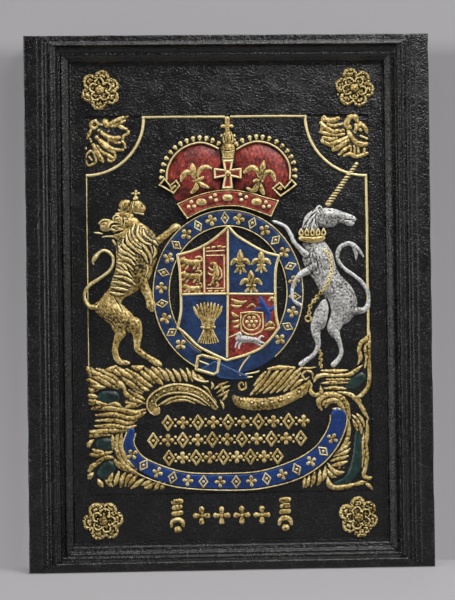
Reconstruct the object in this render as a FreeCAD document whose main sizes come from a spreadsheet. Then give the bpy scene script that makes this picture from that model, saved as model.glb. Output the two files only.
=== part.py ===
import FreeCAD, Part
import math
import os
import Sketcher

# A cast-iron stove plate, drawn upright in millimetres: X to the right, Z up, the decorated face
# towards -Y and the origin under the middle of the plate's bottom edge.
# The front of the back plate is the sunk field, and the mouldings and ornaments seat on it.

# Driving sizes
SIZES = {
    # across the plate, from its middle outwards
    "panel_width": 352,
    "margin_width": 14,
    "moulding_width": 28,
    "side_band_width": 32,
    # up the plate, from its bottom edge
    "end_band_height": 7,
    "base_strip_height": 57,
    "compartment_height": 160,
    "belt_sink": 12,
    "crown_height": 119,
    "frieze_height": 62,
    # through the plate, from its back
    "groove_depth": 14,
    "web_thickness": 12,
    "margin_rise": 2.5,
    "rail_rise": 22,
    "step_drop": 5,
    "nose_radius": 2,
    # ribs behind the side rails, which hold the edges of the neighbouring plates
    "rib_thickness": 9,
    "groove_width": 14,
    # gilt fillet
    "fillet_width": 2.6,
    "fillet_rise": 2.6,
    "fillet_inset": 2.8,
    "fillet_corner_radius": 74,
    "fillet_foot_left": 4,
    "fillet_foot_right": 36,
    # rosettes
    "rosette_inset": 17.5,
    "petal_count": 8,
    "petal_radius": 8,
    "petal_ring_radius": 16,
    "petal_rise": 4,
    "petal_pit_radius": 3.6,
    "petal_pit_depth": 1.6,
    "inner_petal_radius": 4.4,
    "inner_ring_radius": 9.4,
    "inner_petal_rise": 5.6,
    "boss_radius": 5.6,
    "boss_rise": 7.2,
    "boss_round": 1.2,
    # crown
    "cap_rise": 4.5,
    "lobe_radius": 36,
    "lobe_offset": 37.5,
    "lobe_height": 47,
    "arch_width": 3.5,
    "arch_rise": 7,
    "pearl_radius": 2.9,
    "pearl_count": 13,
    "pearl_gap": 0.6,
    "rim_rise": 6,
    "rim_pearl_radius": 1.9,
    "rim_stone_half_width": 5.5,
    "rim_stone_half_height": 3.8,
    "rim_stone_rise": 3,
    "crown_lily_width": 34,
    "crown_lily_height": 36,
    "charge_rise": 3,
    # belt
    "belt_half_width": 94,
    "belt_half_height": 102,
    "belt_breadth": 20,
    "belt_rise": 3,
    "belt_edge_width": 2.3,
    "belt_edge_rise": 1.5,
    "buckle_length": 30,
    "buckle_height": 24,
    "buckle_bar": 4,
    "buckle_rise": 6,
    # shield
    "shield_rim_width": 2.8,
    "shield_rim_rise": 5.5,
    "quarter_rise": 4,
    "shield_lily_width": 22,
    "shield_lily_height": 26,
    # ribbon and what lies over it
    "ribbon_rise": 4,
    "ribbon_edge_half": 1.2,
    "lozenge_width": 9,
    "lozenge_height": 15,
    "lozenge_rise": 2.4,
    "pellet_radius": 2.6,
    "row_pitch": 13,
    "stone_rise": 5,
    "quatrefoil_radius": 5.2,
    "quatrefoil_pitch": 26,
}

doc = FreeCAD.newDocument("stove_plate")
sheet = doc.addObject("Spreadsheet::Sheet", "Sizes")
for row, (alias, value) in enumerate(SIZES.items(), 1):
    sheet.set("A%d" % row, alias)
    sheet.set("B%d" % row, str(value))
    sheet.setAlias("B%d" % row, alias)
doc.recompute()

# Places worked out from the driving sizes, as expressions
FIELD = "(Sizes.rail_rise - Sizes.groove_depth - Sizes.web_thickness) / 2"
MARGIN_FACE = "(%s - Sizes.margin_rise)" % FIELD
RAIL_FACE = "(%s - Sizes.rail_rise)" % FIELD
HALF_PANEL = "(Sizes.panel_width / 2)"
HALF_OPENING = "(Sizes.panel_width / 2 + Sizes.margin_width)"
HALF_MOULDING = "(%s + Sizes.moulding_width)" % HALF_OPENING
HALF_PLATE = "(%s + Sizes.side_band_width)" % HALF_MOULDING
OPENING_FOOT = "(Sizes.end_band_height + Sizes.moulding_width)"
PANEL_FOOT = "(%s + Sizes.base_strip_height)" % OPENING_FOOT
GROUND = "(%s + Sizes.compartment_height)" % PANEL_FOOT
ARMS_HEIGHT = "(%s + Sizes.belt_half_height - Sizes.belt_sink)" % GROUND
CROWN_FOOT = "(%s + Sizes.belt_half_height)" % ARMS_HEIGHT
PANEL_TOP = "(%s + Sizes.crown_height)" % CROWN_FOOT
OPENING_TOP = "(%s + Sizes.frieze_height)" % PANEL_TOP
MOULDING_TOP = "(%s + Sizes.moulding_width)" % OPENING_TOP
PLATE_TOP = "(%s + Sizes.end_band_height)" % MOULDING_TOP

nodes = []


def size(alias):
    return float(sheet.get(alias))


def achievement_height():
    """From the ground that the beasts stand on up to the top of the panel."""
    return 2 * size("belt_half_height") - size("belt_sink") + size("crown_height")


# The carvings are drawn for a panel of these sizes and stretch with it
DRAWN_PANEL_WIDTH = 352
DRAWN_COMPARTMENT = 160
DRAWN_ACHIEVEMENT = 311
DRAWN_CROWN = 119
DRAWN_BELT_HALVES = (94, 102)
DRAWN_SHELL = 74
PANEL_STRETCH = size("panel_width") / DRAWN_PANEL_WIDTH
COMPARTMENT_STRETCH = size("compartment_height") / DRAWN_COMPARTMENT
BEAST_STRETCH = achievement_height() / DRAWN_ACHIEVEMENT
CROWN_STRETCH = size("crown_height") / DRAWN_CROWN
BELT_STRETCH_ACROSS = size("belt_half_width") / DRAWN_BELT_HALVES[0]
BELT_STRETCH_UP = size("belt_half_height") / DRAWN_BELT_HALVES[1]
SHELL_STRETCH = size("fillet_corner_radius") / DRAWN_SHELL


def keep(label, piece):
    """Names a finished sub-part and puts it on the list of those to write."""
    piece.Label = label
    nodes.append(piece)
    return piece


def place(piece, x, y, z):
    """Ties a piece's place to the sheet."""
    piece.setExpression("Placement.Base.x", x)
    piece.setExpression("Placement.Base.y", y)
    piece.setExpression("Placement.Base.z", z)


def bar(label, corner, sides):
    """A straight bar from its low corner, with its three sides given as expressions."""
    box = doc.addObject("Part::Box", label)
    for side, expression in zip(("Length", "Width", "Height"), sides):
        box.setExpression(side, expression)
    place(box, *corner)
    return keep(label, box)


def mirrored(label, source, normal, base=None):
    """A mirror image of a piece in a plane across X or Z."""
    image = doc.addObject("Part::Mirroring", label)
    image.Source = source
    image.Normal = normal
    if base:
        image.setExpression("Base.z", base)
    return keep(label, image)


def trimmed(label, piece, *covers):
    """A piece with what lies over it cut away, so that the two seat side by side."""
    piece.Label = label + "_whole"
    for cover in covers:
        cut = doc.addObject("Part::Cut", label + "_cut")
        cut.Base = piece
        cut.Tool = cover
        piece = cut
    return keep(label, piece)


def carved(label, shape, x, y, z):
    """An ornament of free shape, drawn about its own anchor with y = 0 on its seat."""
    piece = doc.addObject("Part::Feature", label)
    piece.Shape = group([shape])
    place(piece, x, y, z)
    return piece


def relief(label, shape, x, y, z):
    """A carved ornament that needs no trimming."""
    return keep(label, carved(label, shape, x, y, z))


def spot(x, z, rise=0):
    return FreeCAD.Vector(x, -rise, z)


def limb(points, lift):
    """A half-round limb along points (x, z, half width), lofted through one arch at each point."""
    arches = []
    for i, (x, z, half) in enumerate(points):
        before = points[max(i - 1, 0)]
        after = points[min(i + 1, len(points) - 1)]
        run = spot(after[0] - before[0], after[1] - before[1]).normalize()
        side = spot(-run.z, run.x) * half
        arch = Part.Arc(spot(x, z) - side, spot(x, z, half * lift), spot(x, z) + side).toShape()
        foot = Part.makeLine(spot(x, z) + side, spot(x, z) - side)
        arches.append(Part.Wire([arch, foot]))
    return Part.makeLoft(arches, True, True)


def stretched(points, across, up):
    """Drawn points at the panel's own size; widths follow the lesser stretch."""
    return [(x * across, z * up, half * min(across, up)) for x, z, half in points]


def figure(limbs, across=1, up=1):
    """Limbs grown together into one carving: each is its points and its lift."""
    shapes = [limb(stretched(points, across, up), lift) for points, lift in limbs]
    if len(shapes) == 1:
        return shapes[0]
    return shapes[0].fuse(shapes[1:]).removeSplitter()


def on_panel(points, across, up):
    """Drawn outline points at the panel's own size."""
    return [(x * across, z * up) for x, z in points]


def group(shapes):
    return Part.makeCompound(shapes)


def moved(shape, x, z):
    copy = shape.copy()
    copy.translate(spot(x, z))
    return copy


def slab(edges, rise):
    """A flat ornament with upright sides: each edge is a line's two points or an arc's three."""
    drawn = []
    for edge in edges:
        points = [spot(x, z) for x, z in edge]
        if len(points) == 2:
            drawn.append(Part.makeLine(*points))
        else:
            drawn.append(Part.Arc(*points).toShape())
    return Part.Face(Part.Wire(drawn)).extrude(spot(0, 0, rise))


def polygon(corners, rise):
    """A flat ornament with straight sides."""
    return slab(list(zip(corners, corners[1:] + corners[:1])), rise)


def oval(half_width, half_height, rise):
    """An upright-sided oval about its anchor."""
    longer = max(half_width, half_height)
    shorter = min(half_width, half_height)
    ring = Part.Ellipse(spot(0, 0), longer, shorter).toShape()
    if half_width >= half_height:
        ring.rotate(spot(0, 0), FreeCAD.Vector(1, 0, 0), 90)
    else:
        ring.rotate(spot(0, 0), FreeCAD.Vector(1, 1, 1), 240)
    return Part.Face(Part.Wire(ring)).extrude(spot(0, 0, rise))


def dome(x, z, half_width, half_height, rise):
    """A low oval boss: the front half of a ball, pressed to its three half sizes."""
    ball = Part.makeSphere(1, spot(0, 0), spot(0, 0, 1), 0, 90, 360)
    pressed = FreeCAD.Matrix()
    pressed.scale(half_width, rise, half_height)
    boss = ball.transformGeometry(pressed)
    boss.translate(spot(x, z))
    return boss


def lily(width, height):
    """A three-petalled heraldic lily with its band, in a box of width by height."""
    half = width / 2
    tall = height / 2
    middle_petal = [
        (0, -tall, half * 0.34),
        (0, -tall * 0.2, half * 0.16),
        (0, tall * 0.35, half * 0.3),
        (0, tall, 0.5),
    ]
    band = [(-half * 0.6, -tall * 0.25, half * 0.16), (half * 0.6, -tall * 0.25, half * 0.16)]
    petals = [(middle_petal, 0.7), (band, 0.9)]
    for way in (-1, 1):
        side_petal = [
            (way * half * 0.22, -tall * 0.3, half * 0.12),
            (way * half * 0.5, tall * 0.25, half * 0.2),
            (way * half * 0.8, tall * 0.3, half * 0.18),
            (way * half * 0.92, -tall * 0.05, half * 0.1),
        ]
        petals.append((side_petal, 0.8))
    return figure(petals)


# Sketches
def origin_plane(body, role):
    return [plane for plane in body.Origin.OriginFeatures if plane.Role == role][0]


def new_sketch(body, name, role):
    sketch = body.newObject("Sketcher::SketchObject", name)
    sketch.AttachmentSupport = (origin_plane(body, role), "")
    sketch.MapMode = "FlatFace"
    return sketch


def set_size(sketch, constraint, expression):
    index = sketch.addConstraint(constraint)
    sketch.setExpression("Constraints[%d]" % index, expression)


def cornered_sketch(body, name, role, corners):
    """A closed outline of straight sides, each corner dimensioned from the origin by two expressions."""
    sketch = new_sketch(body, name, role)
    count = len(corners)
    start = [
        FreeCAD.Vector(2 + math.cos(2 * math.pi * i / count), 2 + math.sin(2 * math.pi * i / count), 0)
        for i in range(count)
    ]
    for i in range(count):
        sketch.addGeometry(Part.LineSegment(start[i], start[(i + 1) % count]))
    for i in range(count):
        sketch.addConstraint(Sketcher.Constraint("Coincident", i, 2, (i + 1) % count, 1))
    for i, (across, up) in enumerate(corners):
        set_size(sketch, Sketcher.Constraint("DistanceX", -1, 1, i, 1, start[i].x), across)
        set_size(sketch, Sketcher.Constraint("DistanceY", -1, 1, i, 1, start[i].y), up)
    return sketch


def round_sketch(body, name, ring_radius, radius, level=None):
    """A circle on the face's upright axis, a ring radius above the origin and a level before its seat."""
    sketch = new_sketch(body, name, "XZ_Plane")
    if level:
        sketch.setExpression("AttachmentOffset.Base.z", level)
    sketch.addGeometry(Part.Circle(FreeCAD.Vector(0, 20, 0), FreeCAD.Vector(0, 0, 1), 5))
    if ring_radius:
        sketch.addConstraint(Sketcher.Constraint("PointOnObject", 0, 3, -2))
        set_size(sketch, Sketcher.Constraint("DistanceY", -1, 1, 0, 3, 20), ring_radius)
    else:
        sketch.addConstraint(Sketcher.Constraint("Coincident", 0, 3, -1, 1))
    set_size(sketch, Sketcher.Constraint("Radius", 0, 5), radius)
    return sketch


def pad(body, name, sketch, length):
    feature = body.newObject("PartDesign::Pad", name)
    feature.Profile = sketch
    feature.setExpression("Length", length)
    doc.recompute()
    return feature


def pocket(body, name, sketch, length=None):
    """A pocket of a given depth, or right through where none is given."""
    feature = body.newObject("PartDesign::Pocket", name)
    feature.Profile = sketch
    if length:
        feature.setExpression("Length", length)
    else:
        feature.Type = "ThroughAll"
    doc.recompute()
    return feature


def polar_pattern(body, name, feature, sketch, count):
    pattern = body.newObject("PartDesign::PolarPattern", name)
    pattern.Originals = [feature]
    pattern.Axis = (sketch, ["N_Axis"])
    pattern.Angle = 360
    pattern.setExpression("Occurrences", count)
    body.Tip = pattern
    doc.recompute()
    return pattern


def rounded(body, name, base, wanted, radius):
    """A fillet on those edges of the base feature that wanted() picks."""
    edges = ["Edge%d" % i for i, edge in enumerate(base.Shape.Edges, 1) if wanted(edge)]
    feature = body.newObject("PartDesign::Fillet", name)
    feature.Base = (base, edges)
    feature.setExpression("Radius", radius)
    body.Tip = feature
    doc.recompute()
    return feature


# Back plate, the flat bands round its edge and the raised margin round the field
WIDE = "2 * %s" % HALF_PLATE
PLATE_LEFT = "-%s" % HALF_PLATE
PANEL_LEFT = "-%s" % HALF_PANEL
bar("back_plate", (PLATE_LEFT, FIELD, "0"), (WIDE, "Sizes.web_thickness", PLATE_TOP))

SIDE_BAND = ("Sizes.side_band_width", "Sizes.rail_rise", PLATE_TOP)
END_BAND = ("2 * %s" % HALF_MOULDING, "Sizes.rail_rise", "Sizes.end_band_height")
bar("side_band_left", (PLATE_LEFT, RAIL_FACE, "0"), SIDE_BAND)
bar("side_band_right", (HALF_MOULDING, RAIL_FACE, "0"), SIDE_BAND)
bar("bottom_band", ("-%s" % HALF_MOULDING, RAIL_FACE, "0"), END_BAND)
bar("top_band", ("-%s" % HALF_MOULDING, RAIL_FACE, MOULDING_TOP), END_BAND)

SIDE_MARGIN = ("Sizes.margin_width", "Sizes.margin_rise", "%s - %s" % (OPENING_TOP, OPENING_FOOT))
bar("margin_left", ("-%s" % HALF_OPENING, MARGIN_FACE, OPENING_FOOT), SIDE_MARGIN)
bar("margin_right", (HALF_PANEL, MARGIN_FACE, OPENING_FOOT), SIDE_MARGIN)
FRIEZE = ("Sizes.panel_width", "Sizes.margin_rise", "Sizes.frieze_height")
bar("frieze", (PANEL_LEFT, MARGIN_FACE, PANEL_TOP), FRIEZE)
STRIP = ("Sizes.panel_width", "Sizes.margin_rise", "Sizes.base_strip_height")
bar("base_strip", (PANEL_LEFT, MARGIN_FACE, OPENING_FOOT), STRIP)

# Ribs on the back: each pair leaves a groove for the edge of a side plate
RIB_BACK = "%s + Sizes.web_thickness" % FIELD
RIB = ("Sizes.rib_thickness", "Sizes.groove_depth", PLATE_TOP)
INNER_RIB = "(%s - 2 * Sizes.rib_thickness - Sizes.groove_width)" % HALF_PLATE
bar("groove_rib_left_outer", (PLATE_LEFT, RIB_BACK, "0"), RIB)
bar("groove_rib_left_inner", ("-%s - Sizes.rib_thickness" % INNER_RIB, RIB_BACK, "0"), RIB)
bar("groove_rib_right_inner", (INNER_RIB, RIB_BACK, "0"), RIB)
bar("groove_rib_right_outer", ("%s - Sizes.rib_thickness" % HALF_PLATE, RIB_BACK, "0"), RIB)


# Stepped mouldings, mitred at the corners
STEPS = 3
TREAD = "Sizes.moulding_width / %d" % STEPS


def stepped_profile():
    """Corners (across, behind the rail's face) of the moulding, stepping down towards the field."""
    corners = [("0", "Sizes.rail_rise")]
    for step in range(STEPS):
        depth = "%d * Sizes.step_drop" % (step + 1)
        corners.append(("%d * %s" % (step, TREAD), depth))
        corners.append(("%d * %s" % (step + 1, TREAD), depth))
    corners.append(("Sizes.moulding_width", "Sizes.rail_rise"))
    return corners


def on_nose(across, behind):
    """True where a point of the profile is one of the steps' noses."""
    for step in range(1, STEPS + 1):
        near_edge = abs(across - step * size("moulding_width") / STEPS) < 0.01
        if near_edge and abs(behind - step * size("step_drop")) < 0.01:
            return True
    return False


def side_moulding():
    body = doc.addObject("PartDesign::Body", "moulding_left")
    section = cornered_sketch(body, "side_section", "XY_Plane", stepped_profile())
    length = "(%s + 2 * Sizes.moulding_width)" % SIDE_MARGIN[2]
    run = pad(body, "side_run", section, length)
    rounded(body, "side_noses", run, lambda e: is_long(e, "z") and on_nose(e.Vertexes[0].X, e.Vertexes[0].Y),
            "Sizes.nose_radius")
    wide = "Sizes.moulding_width"
    foot = cornered_sketch(body, "foot_mitre", "XZ_Plane", [("0", "0"), (wide, "0"), (wide, wide)])
    pocket(body, "foot_mitre_cut", foot)
    shoulder = "%s - Sizes.moulding_width" % length
    head = cornered_sketch(body, "head_mitre", "XZ_Plane", [("0", length), (wide, shoulder), (wide, length)])
    pocket(body, "head_mitre_cut", head)
    place(body, "-%s" % HALF_MOULDING, RAIL_FACE, "Sizes.end_band_height")
    return keep("moulding_left", body)


def is_long(edge, axis):
    """True for an edge that runs along one axis."""
    ends = [vertex.Point for vertex in edge.Vertexes]
    return len(ends) == 2 and abs(getattr(ends[1] - ends[0], axis)) > edge.Length * 0.999


def end_moulding():
    body = doc.addObject("PartDesign::Body", "moulding_bottom")
    turned = [(behind, across) for across, behind in stepped_profile()]
    section = cornered_sketch(body, "end_section", "YZ_Plane", turned)
    length = "(2 * %s)" % HALF_MOULDING
    run = pad(body, "end_run", section, length)
    rounded(body, "end_noses", run, lambda e: is_long(e, "x") and on_nose(e.Vertexes[0].Z, e.Vertexes[0].Y),
            "Sizes.nose_radius")
    wide = "Sizes.moulding_width"
    left = cornered_sketch(body, "left_mitre", "XZ_Plane", [("0", "0"), (wide, wide), ("0", wide)])
    pocket(body, "left_mitre_cut", left)
    shoulder = "%s - Sizes.moulding_width" % length
    far_corner = [(length, "0"), (length, wide), (shoulder, wide)]
    right = cornered_sketch(body, "right_mitre", "XZ_Plane", far_corner)
    pocket(body, "right_mitre_cut", right)
    place(body, "-%s" % HALF_MOULDING, RAIL_FACE, "Sizes.end_band_height")
    return keep("moulding_bottom", body)


ACROSS = FreeCAD.Vector(1, 0, 0)
UPRIGHT = FreeCAD.Vector(0, 0, 1)
moulding_left = side_moulding()
mirrored("moulding_right", moulding_left, ACROSS)
moulding_bottom = end_moulding()
mirrored("moulding_top", moulding_bottom, UPRIGHT, "%s / 2" % PLATE_TOP)


# Rosettes on the margin's four corners
def rosette():
    body = doc.addObject("PartDesign::Body", "rosette_top_left")
    disc = round_sketch(body, "disc", None, "Sizes.petal_ring_radius")
    pad(body, "disc_pad", disc, "Sizes.petal_rise - Sizes.petal_pit_depth")
    petal = round_sketch(body, "petal", "Sizes.petal_ring_radius", "Sizes.petal_radius")
    petal_pad = pad(body, "petal_pad", petal, "Sizes.petal_rise")
    polar_pattern(body, "petals", petal_pad, petal, "Sizes.petal_count")
    pit = round_sketch(body, "pit", "Sizes.petal_ring_radius", "Sizes.petal_pit_radius", "Sizes.petal_rise")
    pit_cut = pocket(body, "pit_cut", pit, "Sizes.petal_pit_depth")
    polar_pattern(body, "pits", pit_cut, pit, "Sizes.petal_count")
    inner = round_sketch(body, "inner_petal", "Sizes.inner_ring_radius", "Sizes.inner_petal_radius")
    inner_pad = pad(body, "inner_petal_pad", inner, "Sizes.inner_petal_rise")
    polar_pattern(body, "inner_petals", inner_pad, inner, "Sizes.petal_count")
    boss = round_sketch(body, "boss", None, "Sizes.boss_radius")
    boss_pad = pad(body, "boss_pad", boss, "Sizes.boss_rise")
    rounded(body, "boss_crown", boss_pad, on_boss_rim, "Sizes.boss_round")
    place(body, "-(%s - Sizes.rosette_inset)" % HALF_PANEL, MARGIN_FACE, FRIEZE_MIDDLE)
    return keep("rosette_top_left", body)


def on_boss_rim(edge):
    """True for the round edge at the front of the rosette's boss."""
    return abs(edge.CenterOfMass.y + size("boss_rise")) < 0.01


FRIEZE_MIDDLE = "(%s + Sizes.frieze_height / 2)" % PANEL_TOP
STRIP_MIDDLE = "(%s + Sizes.base_strip_height / 2)" % OPENING_FOOT
BETWEEN_ROSETTES = "(%s + %s) / 2" % (FRIEZE_MIDDLE, STRIP_MIDDLE)
rosette_left = rosette()
rosette_right = mirrored("rosette_top_right", rosette_left, ACROSS)
mirrored("rosette_bottom_left", rosette_left, UPRIGHT, BETWEEN_ROSETTES)
mirrored("rosette_bottom_right", rosette_right, UPRIGHT, BETWEEN_ROSETTES)


# Shells in the field's top corners, drawn from the panel's own corner
SHELL_LEFT = [
    ([(17, -5, 3), (28, -6, 4.5), (42, -3.4, 2.5), (52, -1.5, 1)], 0.8),
    ([(36, -9, 3), (44, -12, 2.4), (51, -16, 1.4)], 0.8),
    ([(4.5, -20, 2.4), (4.5, -10, 2.8), (10, -4.6, 2.5), (15, -9, 2.2), (11, -13, 1.6)], 0.9),
    ([(14, -17, 3), (26, -24, 3.4), (38, -29, 3.2), (46, -32, 2.2)], 0.9),
    ([(12, -24, 3), (22, -34, 3.2), (32, -42, 3), (44, -44, 2)], 0.9),
    ([(8, -33, 3), (15, -44, 4), (22, -53, 4), (30, -55, 2)], 0.9),
    ([(3, -24, 2), (4, -36, 2), (5, -46, 4), (8, -56, 4), (9, -61, 1.6)], 0.9),
]
SHELL_RIGHT = [
    ([(-54, -3, 1.4), (-40, -4, 3), (-28, -6, 3.6), (-14, -3.6, 3), (-6, -8, 3), (-8, -18, 3),
      (-18, -20, 3)], 0.9),
    ([(-60, -11, 1.4), (-46, -13, 2.8), (-30, -16, 3), (-24, -20, 2.4)], 0.9),
    ([(-61, -21, 1.4), (-48, -22, 2.8), (-34, -23, 3), (-24, -24, 2.4)], 0.9),
    ([(-57, -32, 1.4), (-46, -30, 2.8), (-34, -28, 3), (-22, -28, 2.4)], 0.9),
    ([(-46, -43, 1.4), (-38, -38, 3), (-28, -33, 3), (-18, -31, 2.4)], 0.9),
    ([(-35, -51, 1.4), (-30, -45, 3), (-22, -38, 3), (-14, -33, 2.4)], 0.9),
    ([(-14, -24, 2), (-5, -30, 3), (-5, -40, 3.4), (-12, -46, 4), (-22, -49, 3), (-30, -50, 1.4)], 0.9),
]
for label, drawing, corner in (("left", SHELL_LEFT, PANEL_LEFT), ("right", SHELL_RIGHT, HALF_PANEL)):
    shell = figure(drawing, SHELL_STRETCH, SHELL_STRETCH)
    relief("corner_shell_" + label, shell, corner, FIELD, PANEL_TOP)


# Shield, drawn from the middle of the arms: a peaked top, drawn-in sides and a pointed foot
SHIELD_SIDE = [
    ((0, 81), (28, 59), (64, 45)),
    ((64, 45), (58.5, 0), (64, -45)),
    ((64, -45), (39, -70), (0, -85)),
]
shield_edges = [on_panel(edge, BELT_STRETCH_ACROSS, BELT_STRETCH_UP) for edge in SHIELD_SIDE]
for edge in reversed(SHIELD_SIDE):
    shield_edges.append(on_panel(reversed(edge), -BELT_STRETCH_ACROSS, BELT_STRETCH_UP))
shield_outline = slab(shield_edges, size("shield_rim_rise"))
shield_back = [face for face in shield_outline.Faces if abs(face.CenterOfMass.y) < 0.01][0]
inner_wire = shield_back.makeOffset2D(-size("shield_rim_width")).OuterWire
shield_inside = Part.Face(inner_wire).extrude(spot(0, 0, size("shield_rim_rise")))

half_line = size("shield_rim_width") / 2
reach = size("belt_half_height")
dividing_lines = [
    polygon([(-half_line, -reach), (half_line, -reach), (half_line, reach), (-half_line, reach)], reach),
    polygon([(-reach, -half_line), (reach, -half_line), (reach, half_line), (-reach, half_line)], reach),
]
rim_shape = shield_outline.cut(shield_inside).fuse([shield_inside.common(line) for line in dividing_lines])
relief("shield_rim", rim_shape.removeSplitter(), "0", FIELD, ARMS_HEIGHT)

QUARTERS = {
    "quarter_beasts": (-1, 1),
    "quarter_lilies": (1, 1),
    "quarter_sheaf": (-1, -1),
    "quarter_hound": (1, -1),
}
for label, (right, up) in QUARTERS.items():
    near = (right * half_line, up * half_line)
    far = (right * reach, up * reach)
    corner = polygon([near, (far[0], near[1]), far, (near[0], far[1])], size("quarter_rise"))
    relief(label, shield_inside.common(corner), "0", FIELD, ARMS_HEIGHT)

# Charges on the quarters
QUARTER_FACE = "(%s - Sizes.quarter_rise)" % FIELD
BEAST_LENGTH = 24
BEAST = [
    ([(-8, 1.4, 2.6), (-2.4, 0.5, 2.9), (3.8, 1.4, 3.8), (8.2, 4.8, 3.1), (11.5, 5.8, 1.4)], 0.8),
    ([(-7.2, 0.5, 1.9), (-8.2, -4.8, 1.2), (-6.2, -8.2, 1.2)], 0.9),
    ([(-2.4, 0, 1.7), (-1.4, -4.8, 1.2), (0.5, -8.2, 1.2)], 0.9),
    ([(3.4, 0, 1.9), (2.9, -4.8, 1.2), (4.8, -8.2, 1.2)], 0.9),
    ([(6.2, 1.4, 1.7), (9.1, -1.4, 1.2), (11.5, -0.5, 1.2)], 0.9),
    ([(-7, 1.9, 1.2), (-11.5, 5.8, 1), (-8.6, 8.6, 1.2), (-5.8, 7.7, 1)], 0.9),
]
beast = figure(BEAST)


def turned_beast(x, z, length, turn=0):
    """The small walking beast at another length, turned about its middle and moved to its place."""
    copy = beast.copy()
    copy.scale(length / BEAST_LENGTH)
    copy.rotate(spot(0, 0), FreeCAD.Vector(0, 1, 0), turn)
    copy.translate(spot(x * BELT_STRETCH_ACROSS, z * BELT_STRETCH_UP))
    return copy


def spread(shape, places, across, up):
    """Copies of a shape at drawn places on the panel."""
    return group([moved(shape, x * across, z * up) for x, z in places])


WALKING_LEVELS = (40, 25, 10)
REARING_LENGTH = 38
REARING_TURN = -70
walking = [turned_beast(-45, level, BEAST_LENGTH) for level in WALKING_LEVELS]
rearing = turned_beast(-15, 32, REARING_LENGTH, REARING_TURN)
relief("shield_beasts", group(walking + [rearing]), "0", QUARTER_FACE, ARMS_HEIGHT)
LILY_PLACES = ((15, 39), (43, 37), (29, 15))
shield_lily = lily(size("shield_lily_width"), size("shield_lily_height"))
shield_lilies = spread(shield_lily, LILY_PLACES, BELT_STRETCH_ACROSS, BELT_STRETCH_UP)
relief("shield_lilies", shield_lilies, "0", QUARTER_FACE, ARMS_HEIGHT)
SHEAF = [
    ([(-29, -64, 3), (-29, -43, 3), (-29, -23, 4.5), (-29, -13, 2)], 0.8),
    ([(-34, -64, 3), (-32, -43, 3), (-38, -25, 4), (-44, -17, 2)], 0.8),
    ([(-24, -64, 3), (-26, -43, 3), (-20, -25, 4), (-14, -17, 2)], 0.8),
    ([(-39, -60, 2.4), (-35, -45, 2.6), (-43, -32, 3.4), (-49, -27, 1.6)], 0.8),
    ([(-18, -62, 2.4), (-23, -45, 2.6), (-15, -32, 3.4), (-9, -27, 1.6)], 0.8),
    ([(-37, -44, 2.6), (-21, -44, 2.6)], 1),
]
relief("shield_sheaf", figure(SHEAF, BELT_STRETCH_ACROSS, BELT_STRETCH_UP), "0", QUARTER_FACE, ARMS_HEIGHT)
SMALL_SHIELD = [((17, -26), (39, -26)), ((39, -26), (38, -41), (28, -48)), ((28, -48), (18, -41), (17, -26))]
small_edges = [on_panel(edge, BELT_STRETCH_ACROSS, BELT_STRETCH_UP) for edge in SMALL_SHIELD]
relief("small_shield", slab(small_edges, size("charge_rise")), "0", QUARTER_FACE, ARMS_HEIGHT)
HOUND_LENGTH = 30
relief("running_hound", turned_beast(22, -58, HOUND_LENGTH), "0", QUARTER_FACE, ARMS_HEIGHT)


# Crown, drawn from the top of the belt
def on_crown(points):
    return on_panel(points, CROWN_STRETCH, CROWN_STRETCH)


RIM_TOP = ((-61, 10), (0, 25), (61, 10))
RIM_FOOT = ((51, -7), (0, 7), (-51, -7))
rim_edges = [RIM_TOP, (RIM_TOP[2], RIM_FOOT[0]), RIM_FOOT, (RIM_FOOT[2], RIM_TOP[0])]
rim_slab = slab([on_crown(edge) for edge in rim_edges], size("rim_rise"))
crown_rim = relief("crown_rim", rim_slab, "0", FIELD, CROWN_FOOT)

RIM_FACE = "(%s - Sizes.rim_rise)" % FIELD
STONE_PLACES = [(0, 16), (-34, 11), (34, 11)]
PEARL_PLACES = [(22, 15), (16, 18), (16, 12.5), (45, 10), (49, 4), (43, 4)]
stone_sizes = [size("rim_stone_" + way) for way in ("half_width", "half_height", "rise")]
rim_stones = [dome(x, z, *stone_sizes) for x, z in on_crown(STONE_PLACES)]
for x, z in on_crown(PEARL_PLACES):
    rim_stones += [dome(way * x, z, *[size("rim_pearl_radius")] * 3) for way in (-1, 1)]
relief("rim_jewels", group(rim_stones), "0", RIM_FACE, CROWN_FOOT)

PILLAR = [
    ([(0, 62, 9), (0, 77, 8.5), (0, 80, 5), (0, 85, 5), (0, 88, 8), (0, 95, 8), (0, 98, 4),
      (0, 113, 3)], 0.9),
    ([(-7, 105, 2.4), (7, 105, 2.4)], 1),
]
crown_pillar = relief("crown_pillar", figure(PILLAR, CROWN_STRETCH, CROWN_STRETCH), "0", FIELD, CROWN_FOOT)

END_CROSS = [(-86, 27), (-73, 37), (-60, 28), (-72, 17)]
end_corners = on_crown(END_CROSS)
end_crosses = [polygon([(way * x, z) for x, z in end_corners], size("arch_rise")) for way in (1, -1)]
crown_ends = carved("crown_ends", group(end_crosses), "0", FIELD, CROWN_FOOT)
trimmed("crown_end_crosses", crown_ends, crown_rim)

lobe_offset = size("lobe_offset") * CROWN_STRETCH
lobe_height = size("lobe_height") * CROWN_STRETCH
lobe_middles = [way * lobe_offset for way in (-1, 1)]
inner_arch = size("lobe_radius") * CROWN_STRETCH
outer_arch = inner_arch + size("arch_width")


def lobe_disc(x, radius, rise):
    """A round piece about the middle of one of the crown's lobes."""
    return Part.makeCylinder(radius, rise, spot(x, lobe_height), spot(0, 0, 1))


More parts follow.
